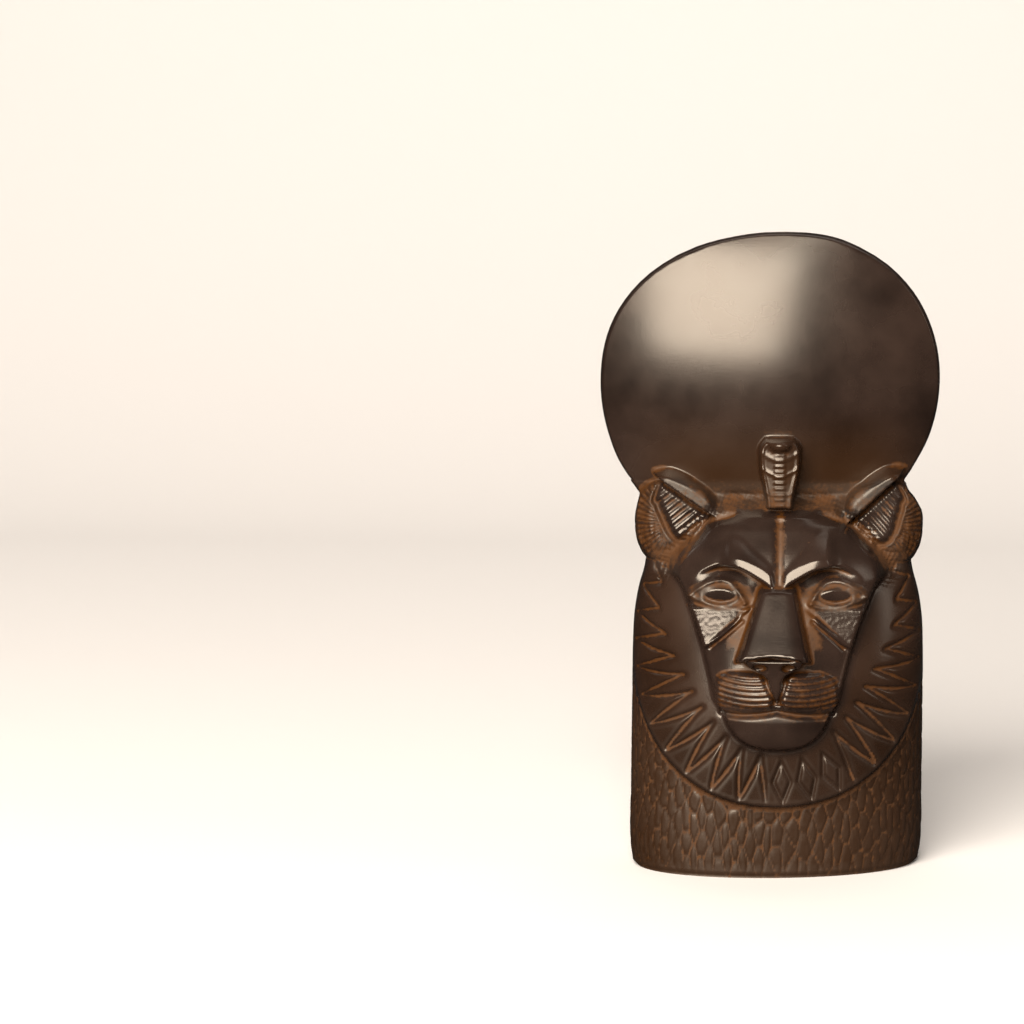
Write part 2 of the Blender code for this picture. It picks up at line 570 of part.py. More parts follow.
def build():
    for old in list(bpy.data.objects):
        bpy.data.objects.remove(old)
    angle, lock_turns = around()
    points = skin(angle, lock_turns, upward())
    bust = bpy.data.objects.new("sekhmet_bust", closed_mesh("sekhmet_bust", points))
    bpy.context.scene.collection.objects.link(bust)
    bust.data = thinned(bust)
    bust.data.materials.append(cast_resin())
    bust.data.shade_smooth()
    return bust


build()
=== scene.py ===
# %% [markdown]
# # A palm-sized bust of a lioness-headed figure with a sun disk
#
# The object is one casting of dark brown resin, waxed, with ochre pigment left in its
# grooves. The frame already holds it as a solid of a few thousand triangles. This lesson
# lays a finer skin over that solid, paints it by where the carving is deep, and lights it.

# %% Load the frame
import bpy
import numpy as np
from mathutils import Matrix, Vector


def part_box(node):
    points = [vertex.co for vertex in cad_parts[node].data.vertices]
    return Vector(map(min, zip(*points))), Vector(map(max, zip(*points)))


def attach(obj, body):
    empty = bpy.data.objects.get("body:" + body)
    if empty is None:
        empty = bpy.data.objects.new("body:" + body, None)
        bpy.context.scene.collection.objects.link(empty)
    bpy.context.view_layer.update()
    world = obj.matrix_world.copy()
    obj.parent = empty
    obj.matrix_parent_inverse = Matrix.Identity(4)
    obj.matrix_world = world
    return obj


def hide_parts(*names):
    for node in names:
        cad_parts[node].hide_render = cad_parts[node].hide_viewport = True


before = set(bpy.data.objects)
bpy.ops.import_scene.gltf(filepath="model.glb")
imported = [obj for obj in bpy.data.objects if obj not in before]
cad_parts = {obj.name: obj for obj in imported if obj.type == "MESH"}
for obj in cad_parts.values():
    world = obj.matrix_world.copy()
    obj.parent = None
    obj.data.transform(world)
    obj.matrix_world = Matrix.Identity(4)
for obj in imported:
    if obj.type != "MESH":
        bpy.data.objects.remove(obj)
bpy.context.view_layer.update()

# %% [markdown]
# ## A few small curves
# Every form below is a height over the front view, built from a handful of curves: a soft
# step, a window with two soft sides, a soft bump, a smooth curve through named points, and
# the distance from a stroke.
# A sculpted mesh would also do, but a formula can be read, changed and measured again.

# %% Curves that all the forms use
MM = 0.001


def ramp(low, high, value):
    """0 below low and 1 above high, with an S-shaped rise between."""
    t = np.clip((value - low) / (high - low), 0.0, 1.0)
    return t * t * (3.0 - 2.0 * t)


def window(value, start, full, fading, end):
    """0 outside start and end, 1 from full to fading, with a ramp on either side."""
    return ramp(start, full, value) * ramp(end, fading, value)


def bell(distance, width):
    """e to the minus (distance over width) squared: 1 at no distance, fading both ways."""
    return np.exp(-(distance / width) ** 2)


def blend(a, b, share):
    """a where share is 0, b where it is 1, and a straight mixture between."""
    return a + (b - a) * share


def larger(a, b, soft):
    """The larger of two heights, the line where they meet rounded over soft."""
    share = np.clip(0.5 + 0.5 * (a - b) / soft, 0.0, 1.0)
    return b + (a - b) * share + soft * share * (1.0 - share)


def through(value, knots, heights):
    """A cubic through each named point, with the slope of its neighbours, level at the ends."""
    knots = np.asarray(knots, float)
    heights = np.asarray(heights, float)
    slopes = np.gradient(heights, knots)
    slopes[0] = 0.0
    slopes[-1] = 0.0
    value = np.clip(value, knots[0], knots[-1])
    i = np.clip(np.searchsorted(knots, value, side="right") - 1, 0, len(knots) - 2)
    gap = knots[i + 1] - knots[i]
    t = (value - knots[i]) / gap
    return ((2 * t**3 - 3 * t**2 + 1) * heights[i] + (t**3 - 2 * t**2 + t) * gap * slopes[i]
            + (3 * t**2 - 2 * t**3) * heights[i + 1] + (t**3 - t**2) * gap * slopes[i + 1])


def stroke(x, z, start, end):
    """Distance from a straight stroke, and the share of its length at the nearest point."""
    dx = end[0] - start[0]
    dz = end[1] - start[1]
    share = np.clip(((x - start[0]) * dx + (z - start[1]) * dz) / (dx * dx + dz * dz), 0.0, 1.0)
    return np.hypot(x - start[0] - share * dx, z - start[1] - share * dz), share


def arc(x, z, start, middle, end, pieces=8):
    """Distance from a parabola through three points, taken as a chain of straight strokes."""
    start, middle, end = (np.asarray(p, float) for p in (start, middle, end))
    handle = 2.0 * middle - 0.5 * (start + end)
    nearest = np.full(np.shape(x), 1e9)
    share = np.zeros(np.shape(x))
    for k in range(pieces):
        ends = []
        for t in (k / pieces, (k + 1) / pieces):
            ends.append((1 - t) ** 2 * start + 2 * t * (1 - t) * handle + t * t * end)
        distance, part = stroke(x, z, ends[0], ends[1])
        closer = distance < nearest
        nearest = np.where(closer, distance, nearest)
        share = np.where(closer, (k + part) / pieces, share)
    return nearest, share


print("a ramp from 0 to 10 is", round(float(ramp(0, 10, 2.5)), 3), "at 2.5")

# %% [markdown]
# ## The column and the disk
# Without its carving the figure is an oval column that pinches in above the head and opens
# into a lens, the sun disk. Both are given by how far they reach sideways, forward and back
# at each height. The heights and widths are in millimetres and repeat those of the solid.

# %% Reach of the column and the disk
HEIGHT = 150.0
DISK_CENTRE_Z = 115.0
DISK_RADIUS = 40.0
DISK_ROUNDNESS_ABOVE = 2.15
DISK_SIDE_HEIGHTS = (84.0, 86.8, 88.0, 88.8, 90.2, 91.2, 94.0, 102.0, 115.0, 133.0, 142.0, 147.0, 150.0)
DISK_SIDE_SHIFTS = (0.0, -0.35, -0.65, -1.3, -2.2, -2.7, -2.9, -2.6, -2.4, -2.1, -1.4, -0.5, 1.0)
DISK_RIM = 3.4
DISK_BULGE = 8.2
DISK_SET_BACK = 1.5
DISK_EDGE = 0.8


def column_half_width(z):
    """Half the width seen from the front, without ears and disk."""
    return through(z, (0, 4, 20, 40, 52, 60, 66, 70, 72.5, 80, 90),
                   (34.0, 34.5, 34.6, 34.5, 34.4, 34.0, 33.0, 31.9, 31.4, 31.0, 31.0))


def column_front(z):
    """How far the plain oval reaches forward of the middle."""
    return through(z, (0, 15, 30, 45, 60, 72, 84, 90), (22.3, 23.2, 24.0, 23.5, 20.5, 17.0, 12.5, 11.0))


def column_back(z):
    """How far the plain oval reaches back of the middle."""
    return through(z, (0, 50, 66, 76, 84, 92), (24.5, 24.3, 22.5, 19.0, 15.0, 11.0))


def disk_half_width(z):
    """A circle below the disk's centre, and above it the arch 1 = (x/r)^p + (z/h)^p."""
    below = np.sqrt(np.clip(DISK_RADIUS**2 - (z - DISK_CENTRE_Z) ** 2, 0.0, None))
    rise = np.clip((z - DISK_CENTRE_Z) / (HEIGHT - DISK_CENTRE_Z), 0.0, 1.0)
    above = DISK_RADIUS * (1.0 - rise**DISK_ROUNDNESS_ABOVE) ** (1.0 / DISK_ROUNDNESS_ABOVE)
    return np.where(z < DISK_CENTRE_Z, below, above)


def disk_thickness(z, sine):
    """Half the thickness: a rim rounded by a quarter circle, plus a parabola's bulge."""
    rise = (z - DISK_CENTRE_Z) / np.where(z < DISK_CENTRE_Z, DISK_RADIUS, HEIGHT - DISK_CENTRE_Z)
    inward = sine**2 * np.clip(1.0 - rise**2, 0.0, 1.0)
    from_edge = DISK_RADIUS * (1.0 - np.sqrt(1.0 - inward))
    round_edge = np.sqrt(1.0 - (1.0 - np.clip(from_edge / DISK_EDGE, 0.0, 1.0)) ** 2)
    return DISK_RIM * round_edge + DISK_BULGE * inward


def disk_side_shift(z):
    """The disk sits a little to one side, and its top leans back the other way."""
    return through(z, DISK_SIDE_HEIGHTS, DISK_SIDE_SHIFTS)


def ear_reach(z):
    """How far from the middle the ears' outline reaches at this height."""
    return through(z, (71.5, 73.1, 74.4, 76.0, 77.5, 80.5, 84.7, 86.8, 88.0, 88.8, 90.2, 91.0, 92.5),
                   (30.0, 31.6, 32.6, 33.3, 33.7, 34.1, 33.7, 32.9, 32.4, 32.3, 32.4, 32.5, 30.0))


print("the disk is", 2 * DISK_RADIUS, "mm across, the column", 2 * float(column_half_width(20.0)), "mm")

# %% [markdown]
# ## The ruff
# A raised collar runs round the face. Its edge is a superellipse, and pointed tufts are cut
# into it: the groove follows a triangle wave of the angle, so that each tuft is a V whose
# point looks inward. Below the chin three of them are closed lozenges. Strokes drawn one by
# one would be freer, but a wave keeps all of them the same when their number changes.

# %% The collar and its tufts
RUFF_CENTRE_Z = 54.0
RUFF_HALF_WIDTH = 34.6
RUFF_HALF_HEIGHT = 36.6
RUFF_ROUNDNESS = 2.2
RUFF_LIFT = 2.1
TUFT_COUNT = 33
TUFT_DEPTH = 0.85
TUFT_OUTER = 0.965
TUFT_FIRST_DEGREES = 2.4
TUFT_GROOVE_WIDTH = 0.62
TUFT_DEGREES = (0, 20, 40, 55, 66, 77, 83, 93, 103, 114, 130)
TUFT_INNER = (0.68, 0.66, 0.62, 0.615, 0.633, 0.661, 0.694, 0.746, 0.806, 0.845, 0.88)
LOZENGE_HALF_WIDTH = 2.0
LOZENGE_HALF_LENGTH = 4.7
LOZENGE_RADIUS = 0.835
LOZENGE_GROOVE_WIDTH = 0.45


def ruff_radius(x, z):
    """The p-th root of |x/a|^p + |z/b|^p: 1 on the ruff's edge, smaller inside it."""
    across = np.abs(x) / RUFF_HALF_WIDTH
    along = np.abs(z - RUFF_CENTRE_Z) / RUFF_HALF_HEIGHT
    return (across**RUFF_ROUNDNESS + along**RUFF_ROUNDNESS) ** (1.0 / RUFF_ROUNDNESS)


def zigzag(turns):
    """A triangle wave: twice the distance from the nearest whole number."""
    return np.abs(2.0 * (turns - np.floor(turns + 0.5)))


def tufts(x, z):
    """Grooves between the tufts, 0 to 1: a bell round the zigzag, or round a lozenge."""
    radius = ruff_radius(x, z)
    degrees = np.degrees(np.arctan2(x, RUFF_CENTRE_Z - z))
    inner = through(np.abs(degrees), TUFT_DEGREES, TUFT_INNER)
    length = (TUFT_OUTER - inner) * RUFF_HALF_HEIGHT
    turns = (degrees - TUFT_FIRST_DEGREES) * TUFT_COUNT / 360.0
    position = (TUFT_OUTER - radius) / (TUFT_OUTER - inner)
    tuft_width = 6.3 * radius + 0.2
    slope = 2.0 * length / tuft_width
    across = (position - 1.0 + zigzag(turns)) * length / np.hypot(1.0, slope)
    points = bell(across, TUFT_GROOVE_WIDTH) * window(position, -0.12, 0.05, 1.0, 1.12)

    sideways = (turns - np.round(turns)) * np.radians(360.0 / TUFT_COUNT) * radius * RUFF_HALF_HEIGHT
    upward = (radius - LOZENGE_RADIUS) * RUFF_HALF_HEIGHT
    diamond = np.abs(sideways) / LOZENGE_HALF_WIDTH + np.abs(upward) / LOZENGE_HALF_LENGTH
    lozenges = bell((diamond - 1.0) * LOZENGE_HALF_WIDTH, LOZENGE_GROOVE_WIDTH)
    here = window(degrees, -5.0, -3.0, 29.5, 31.0)
    return blend(points, lozenges, here) * ramp(74.0, 70.0, z)


def ruff(x, z, height):
    """The collar: a step up at its edge, less the tufts' grooves."""
    inside = ramp(1.012, 0.985, ruff_radius(x, z))
    return height + inside * (RUFF_LIFT * ramp(80.0, 45.0, z) - TUFT_DEPTH * tufts(x, z))


print("the ruff is cut into", TUFT_COUNT, "tufts, about",
      round(2 * np.pi * RUFF_HALF_HEIGHT / TUFT_COUNT, 1), "mm apart at its edge")

# %% [markdown]
# ## The face
# The face is a raised plane with a sharp edge against the ruff. It is narrow at the chin
# and wide at the temples, and falls away to both sides. It could be sculpted by hand;
# here its half width and its middle line are two curves over the height.

# %% The plane of the face
CHIN_Z = 31.6
CHIN_RADIUS = 12.4
CHIN_ROUNDNESS = 2.4
FOREHEAD_TOP_Z = 84.8
FACE_LIPS = (0.12, 0.4)
FACE_LIP_WIDTH = 0.35


def face_half_width(z):
    """Half the width of the raised plane at each height."""
    return through(z, (31.4, 33.0, 37.0, 41.0, 48.0, 56.0, 62.0, 67.0, 71.0, 75.0, 79.0, 82.0, 85.2),
                   (3.0, 7.6, 11.4, 13.6, 15.3, 17.5, 19.6, 21.6, 23.6, 22.4, 18.6, 15.6, 9.0))


def face_gap(x, z):
    """Distance outward from the edge of the face: a chin's arc below, cheek edges above."""
    side = np.abs(x)
    down = np.abs(z - CHIN_Z - CHIN_RADIUS)
    arch = (side / CHIN_RADIUS) ** CHIN_ROUNDNESS + (down / CHIN_RADIUS) ** CHIN_ROUNDNESS
    arch = arch ** (1.0 / CHIN_ROUNDNESS)
    return blend(CHIN_RADIUS * (arch - 1.0), 0.94 * (side - face_half_width(z)), ramp(38.0, 43.0, z))


def face_plane(x, z, height):
    """The plane: its middle line less (side / half width)^2.8, with a thin lip on its edge."""
    side = np.abs(x)
    gap = face_gap(x, z)
    centre = through(z, (30, 33, 38, 44, 50, 58, 64, 66.5, 69, 76, 81, 85.5),
                     (27.2, 29.0, 30.0, 29.2, 27.7, 26.5, 26.2, 26.3, 25.4, 21.8, 18.3, 15.2))
    drop = through(z, (30, 40, 50, 60, 70, 78, 86), (1.6, 3.6, 3.7, 4.4, 7.6, 6.4, 3.0))
    plane = centre - drop * (side / face_half_width(np.maximum(z, 36.0))) ** 2.8
    firmness = blend(0.8, 2.6, ramp(67.0, 73.0, z))
    inside = ramp(firmness, -0.5 * firmness, gap) * ramp(FOREHEAD_TOP_Z + 1.2, FOREHEAD_TOP_Z - 0.8, z)
    lip = np.where(x > 0.0, FACE_LIPS[1], FACE_LIPS[0]) * bell(gap + 0.3, FACE_LIP_WIDTH)
    lip = lip * window(z, 34.0, 40.0, 65.0, 69.0)
    return blend(height, larger(height, plane, 0.6), inside) + lip


print("the face is", round(2 * float(face_half_width(71.0)), 1), "mm wide at the temples")

# %% [markdown]
# ## Brows and eyes
# The brows are bright tilted facets that rise from the top of the nose and end in a line.
# Under that line the sockets are scooped out, and each eye is a small ball between two lids.
# The lids are thin strokes, which keeps them crisp where a sculpting brush would smear them.

# %% Sockets and brows
BROW_SIDES = (0.0, 1.5, 5.0, 9.0, 12.0, 17.0, 22.0)
BROW_HEIGHTS = (67.8, 69.0, 71.2, 73.2, 73.6, 72.2, 69.5)
BROW_MIDDLE_Z = 70.2
BROW_LEVEL = 25.0
SOCKET_DEPTH = 2.6
SOCKET_MIDDLE_Z = 66.5


def brow_line(side):
    """The height of the brow's lower edge, over the distance from the middle."""
    return through(side, BROW_SIDES, BROW_HEIGHTS)


def sockets(x, z, height):
    """A scoop below the brow line that fades at the temple, and a dent beside the nose."""
    side = np.abs(x)
    beneath = ramp(0.8, -0.9, z - brow_line(side)) * ramp(60.0, 66.5, z)
    beneath = beneath * ramp(1.0, 4.0, side) * ramp(20.5, 9.0, side)
    depth = SOCKET_DEPTH + 0.3 * np.clip(z - SOCKET_MIDDLE_Z, 0.0, None)
    corner = bell(side - 6.4, 2.4) * bell(z - 68.8, 2.6)
    return height - depth * beneath - corner


def brows(x, z, height):
    """A facet above the brow line: it leans back upward and is turned a little to each side."""
    side = np.abs(x)
    brow_z = brow_line(side)
    above = np.clip(z - brow_z, 0.0, None)
    top_z = brow_z + through(side, (0.0, 3.0, 7.0, 11.0, 14.0), (2.4, 2.9, 2.4, 1.6, 0.5))
    turned = np.where(x < 0.0, -0.13, 0.03) * (side - 5.0) - 0.06 * np.clip(side - 8.0, 0.0, None) ** 2
    facet = BROW_LEVEL - 0.22 * (brow_z - BROW_MIDDLE_Z) - 0.10 * above - 0.06 * above**2 + turned
    facet = facet - 0.5 * np.clip(z - top_z, 0.0, None)
    here = ramp(-0.6, 0.2, z - brow_z) * window(side, 0.3, 1.8, 11.0, 15.0)
    return blend(height, larger(height, facet, 0.5), here)


print("the brows rise from", BROW_HEIGHTS[0], "to", max(BROW_HEIGHTS), "mm")

# %% Lids and eyeballs
EYE_X = 13.3
EYE_Z = 66.8
EYE_HALF_WIDTH = 3.5
EYE_HALF_HEIGHT = 1.6
EYE_LEVEL = 22.5
EYE_CORNERS = ((7.6, 65.3), (20.6, 66.6))
LID_MIDDLES = ((12.8, 70.2), (13.0, 63.9))
LID_HEIGHTS = (0.8, 0.7)
LID_WIDTH = 0.62


def eyes(x, z, height):
    """Lids are bells along two arcs, with a ring inside them round a low, dim ball."""
    side = np.abs(x)
    for middle_point, lid_height in zip(LID_MIDDLES, LID_HEIGHTS):
        lid, _ = arc(side, z, EYE_CORNERS[0], middle_point, EYE_CORNERS[1])
        height = height + lid_height * bell(lid, LID_WIDTH)
    from_middle = np.hypot((side - EYE_X) / EYE_HALF_WIDTH, (z - EYE_Z) / EYE_HALF_HEIGHT)
    swell = np.sqrt(np.clip(1.0 - from_middle**2, 0.0, None))
    ball = EYE_LEVEL - 0.12 * (side - EYE_X) + 0.12 * (z - EYE_Z) + 0.25 * swell
    height = blend(height, ball, ramp(1.25, 0.95, from_middle))
    return height + 0.4 * bell((from_middle - 1.3) * EYE_HALF_HEIGHT, 0.35)


print("the eyes stand", 2 * EYE_X, "mm apart")

# %% [markdown]
# ## Nose, cheeks and muzzle
# The nose is a flat bridge that widens downward and ends in a sharp lower edge. Below it
# are the nostrils, a plain wedge, and two whisker pads with fine bowed grooves. Beside it
# each cheek has a small hammered facet, whose dents are the product of two sine waves.

# %% Cheeks
CREASE_TOP = (8.4, 62.2)
CREASE_ACROSS = (0.668, 0.744)
CREASE_LENGTH = 10.4
CHEEK_MIDDLE = (14.0, 60.0)
CHEEK_LEVEL = 24.2
DENT_DEPTH = 0.03


def cheeks(x, z, height):
    """A hammered facet under the eye, bounded below by a thin ridge and a groove."""
    side = np.abs(x)
    right = side - CREASE_TOP[0]
    up = z - CREASE_TOP[1]
    along = right * CREASE_ACROSS[1] - up * CREASE_ACROSS[0]
    under = right * CREASE_ACROSS[0] + up * CREASE_ACROSS[1]
    patch = ramp(-0.3, 0.3, under) * ramp(0.3, -0.5, face_gap(x, z)) * window(z, 53.0, 55.0, 63.6, 64.8)
    first_wave = np.sin(3.3 * x + 2.0 * z + 2.0 * np.sin(1.7 * z))
    hammered = first_wave * np.sin(3.1 * z - 2.2 * x + 2.0 * np.sin(1.9 * x))
    outward = side - CHEEK_MIDDLE[0]
    turned = np.where(x < 0.0, 0.16 * outward - 0.02 * outward**2, 0.04 * outward)
    facet = CHEEK_LEVEL - turned - np.where(x < 0.0, 0.15, 0.11) * (z - CHEEK_MIDDLE[1])
    facet = facet + DENT_DEPTH * hammered
    on_line = window(along, -0.3, 0.5, CREASE_LENGTH - 0.4, CREASE_LENGTH + 0.5)
    height = blend(height, facet, patch)
    return height + (0.45 * bell(under, 0.4) - 0.6 * bell(under + 0.95, 0.4)) * on_line


print("each cheek's crease is", CREASE_LENGTH, "mm long")

# %% Nose and the seam of the forehead
NOSE_TIP_Z = 53.6
BRIDGE_TOP_Z = 68.6
NOSE_HALF_WIDTHS = (3.9, 7.9)
NOSE_REACHES = (26.6, 36.0)
NOSE_SKEW = -0.8
SEAM_X = 0.3
SEAM_WIDTH = 1.1
SEAM_DEPTH = 0.6


def forehead_seam(x, z, height):
    """A bell-shaped groove straight up from the bridge to the top of the forehead."""
    on_line = window(z, BRIDGE_TOP_Z, BRIDGE_TOP_Z + 1.0, 83.0, 84.5)
    return height - SEAM_DEPTH * bell(x - SEAM_X, SEAM_WIDTH) * on_line


def nose(x, z, height):
    """A bridge whose half width grows in a straight line down to the tip."""
    down = np.clip((BRIDGE_TOP_Z - z) / (BRIDGE_TOP_Z - NOSE_TIP_Z), 0.0, 1.15)
    side = np.abs(x - NOSE_SKEW * down)
    half = blend(NOSE_HALF_WIDTHS[0], NOSE_HALF_WIDTHS[1], down)
    ridge = blend(NOSE_REACHES[0], NOSE_REACHES[1], down) - 0.9 * (side / half) ** 4
    tip_z = NOSE_TIP_Z + 0.5 - 1.3 * (side / 7.7) ** 2
    here = ramp(0.75, -0.75, side - half) * ramp(BRIDGE_TOP_Z + 0.5, BRIDGE_TOP_Z - 0.6, z)
    here = here * ramp(tip_z - 1.0, tip_z + 0.5, z)
    return blend(height, np.maximum(ridge, height), here)


print("the bridge widens from", 2 * NOSE_HALF_WIDTHS[0], "to", 2 * NOSE_HALF_WIDTHS[1], "mm")

# %% Muzzle, whiskers and mouth
MUZZLE_REACH = 31.5
PAD_MIDDLE = (7.4, 45.1)
PAD_HALF_SIZES = (7.2, 4.9)
PAD_ROUNDNESS = 2.6
NOSTRIL_MIDDLE = (3.4, 51.3)
NOSTRIL_HALF_SIZES = (2.0, 1.15)
NOSTRIL_DEPTH = 2.4
SLOT_ENDS = ((2.9, 49.6), (0.4, 42.8))
SLOT_DEPTH = 1.0
WHISKER_PITCH = 1.3
WHISKER_DEPTH = 0.45
MOUTH_Z = 40.3
MOUTH_HALF_WIDTH = 12.6
MOUTH_DEPTH = 1.7


def beside_wedge(x, z):
    """Distance outward from the plain wedge that runs down from the nose to the mouth."""
    half = through(z, (42.8, 45.0, 49.6, 51.2, 54.0), (0.3, 1.1, 2.9, 5.6, 6.9))
    return np.abs(x - NOSE_SKEW * ramp(42.0, 54.0, z)) - half


def whisker_grooves(side, z):
    """A cosine wave up the pads, bowed outward, 1 in the bottom of each groove."""
    bowed = z - 0.02 * (side - 6.0) ** 2
    return 0.5 + 0.5 * np.cos(2.0 * np.pi * (bowed - 45.4) / WHISKER_PITCH)


def muzzle(x, z, height):
    """Two rounded pads, a wedge between them, pits for nostrils and cosine whisker grooves."""
    side = np.abs(x - NOSE_SKEW * ramp(42.0, 54.0, z))
    beside = beside_wedge(x, z)
    pad = (1.0 - np.abs((side - PAD_MIDDLE[0]) / PAD_HALF_SIZES[0]) ** PAD_ROUNDNESS
           - np.abs((z - PAD_MIDDLE[1]) / PAD_HALF_SIZES[1]) ** PAD_ROUNDNESS)
    pads = MUZZLE_REACH - 4.2 * (side / 14.0) ** 2 - 0.08 * (z - PAD_MIDDLE[1]) ** 2
    height = blend(height, pads, ramp(0.0, 0.35, pad))
    wedge = ramp(0.5, -0.5, beside) * window(z, 42.4, 43.6, 53.0, 54.2)
    height = blend(height, MUZZLE_REACH + 0.26 * (z - 45.0), wedge)
    pit = np.hypot((side - NOSTRIL_MIDDLE[0]) / NOSTRIL_HALF_SIZES[0],
                   (z - NOSTRIL_MIDDLE[1]) / NOSTRIL_HALF_SIZES[1])
    height = height - NOSTRIL_DEPTH * ramp(1.15, 0.5, pit)
    slot, _ = stroke(side, z, SLOT_ENDS[0], SLOT_ENDS[1])
    height = height - SLOT_DEPTH * bell(slot, 0.5)
    on_pad = ramp(0.05, 0.35, pad) * ramp(0.2, 1.2, beside)
    return height - WHISKER_DEPTH * whisker_grooves(side, z) * on_pad


def mouth(x, z, height):
    """A bell-shaped groove along an arc that droops a little from the middle outward."""
    side = np.abs(x - NOSE_SKEW * ramp(42.0, 54.0, z))
    line, _ = arc(side, z, (0.0, MOUTH_Z + 0.5), (6.5, MOUTH_Z - 0.5), (MOUTH_HALF_WIDTH, MOUTH_Z - 0.4))
    return height - MOUTH_DEPTH * bell(line, 0.65)


print("whisker grooves every", WHISKER_PITCH, "mm over a mouth", 2 * MOUTH_HALF_WIDTH, "mm wide")

# %% [markdown]
# ## The ears
# Each ear is a round fringe about a ribbed cup, with a smooth fold along the top of the cup.
# The fold's straight edge is the ear's own axis: u runs along it, v across it, and the cup,
# the ribs and the fold are all written in u and v. Separate ears set into the head would
# leave a seam that one casting doesn't have. Between the ears a grainy groove parts the
# forehead from the disk, and it comes first.

# %% The groove behind the forehead
RIM_DEPTH = 0.9
RIM_WIDTH = 1.7
RIM_OFFSET = 2.2
GRAIN_DEPTH = 0.35


def head_rim(x, z, height):
    """A bell-shaped groove just outside the forehead, its floor left in grains by two waves."""
    crown = through(z, (79.0, 82.0, 85.0, 88.0, 91.0), (18.6, 15.8, 12.8, 8.5, 3.0))
    half = np.where(z < 80.5, face_half_width(z), crown)
    gap = larger(z - FOREHEAD_TOP_Z, 0.8 * (np.abs(x) - half), 1.5)
    here = bell(gap - RIM_OFFSET, RIM_WIDTH) * window(z, 66.5, 71.0, 88.0, 92.0)
    grains = np.sin(4.1 * x + 1.7 * z + np.sin(1.3 * x)) * np.sin(3.9 * z - 2.3 * x + np.sin(1.1 * z))
    return height - here * (RIM_DEPTH - GRAIN_DEPTH * grains)


print("the rim's groove is", RIM_DEPTH, "mm deep,", GRAIN_DEPTH, "mm less or more at its grains")

# %% The ears
EAR_CENTRE = (24.5, 82.2)
EAR_HALF_SIZES = (9.5, 9.8)
EAR_FOLD_MIDDLES = ((21.4, 87.9), (22.3, 88.0))
EAR_FOLD_SLOPES = (33.6, 42.4)
EAR_RIB_LEANS = (18.0, 0.0)
EAR_RIB_PITCH = 1.62
EAR_RIB_DEPTH = 0.38
EAR_FLUTES = 44
EAR_FLUTE_DEPTH = 0.5
EAR_ROUNDNESS = 2.7
EAR_LEVEL = 12.4
CUP_LEVEL = 9.5
FOLD_LEVEL = 11.5


def ear_cup_depth(u):
    """How far the ribbed cup reaches below the fold's edge, along that edge."""
    return through(u, (-7.4, -6.9, -5.4, -3.5, -0.4, 2.4, 5.0, 7.0, 7.8),
                   (0.0, 6.5, 9.2, 10.1, 9.4, 7.7, 6.0, 3.9, 0.0))


def ear_frame(x, z):
    """Along the fold's edge, above it, outline (1 at the rim), into the cup, and 1 at +X."""
    side = np.abs(x)
    at_plus = np.where(x > 0.0, 1.0, 0.0)
    slope = np.radians(blend(EAR_FOLD_SLOPES[0], EAR_FOLD_SLOPES[1], at_plus))
    right = side - blend(EAR_FOLD_MIDDLES[0][0], EAR_FOLD_MIDDLES[1][0], at_plus)
    up = z - blend(EAR_FOLD_MIDDLES[0][1], EAR_FOLD_MIDDLES[1][1], at_plus)
    u = right * np.cos(slope) + up * np.sin(slope)
    v = up * np.cos(slope) - right * np.sin(slope)
    outline = (np.abs((side - EAR_CENTRE[0]) / EAR_HALF_SIZES[0]) ** EAR_ROUNDNESS
               + np.abs((z - EAR_CENTRE[1]) / EAR_HALF_SIZES[1]) ** EAR_ROUNDNESS) ** (1.0 / EAR_ROUNDNESS)
    along = u + 1.0 * at_plus
    bank = (ear_cup_depth(along + 0.1) - ear_cup_depth(along - 0.1)) / 0.2
    edge = (ear_cup_depth(along) + v) / np.hypot(1.0, bank)
    return u, v, outline, edge, at_plus


def ear_flutes(side, z):
    """Cosine waves round the ear's middle, 1 in the bottom of each flute, none by the head."""
    waves = 0.5 + 0.5 * np.cos(EAR_FLUTES * np.arctan2(z - EAR_CENTRE[1], side - EAR_CENTRE[0]))
    return waves * ramp(20.0, 23.0, side)


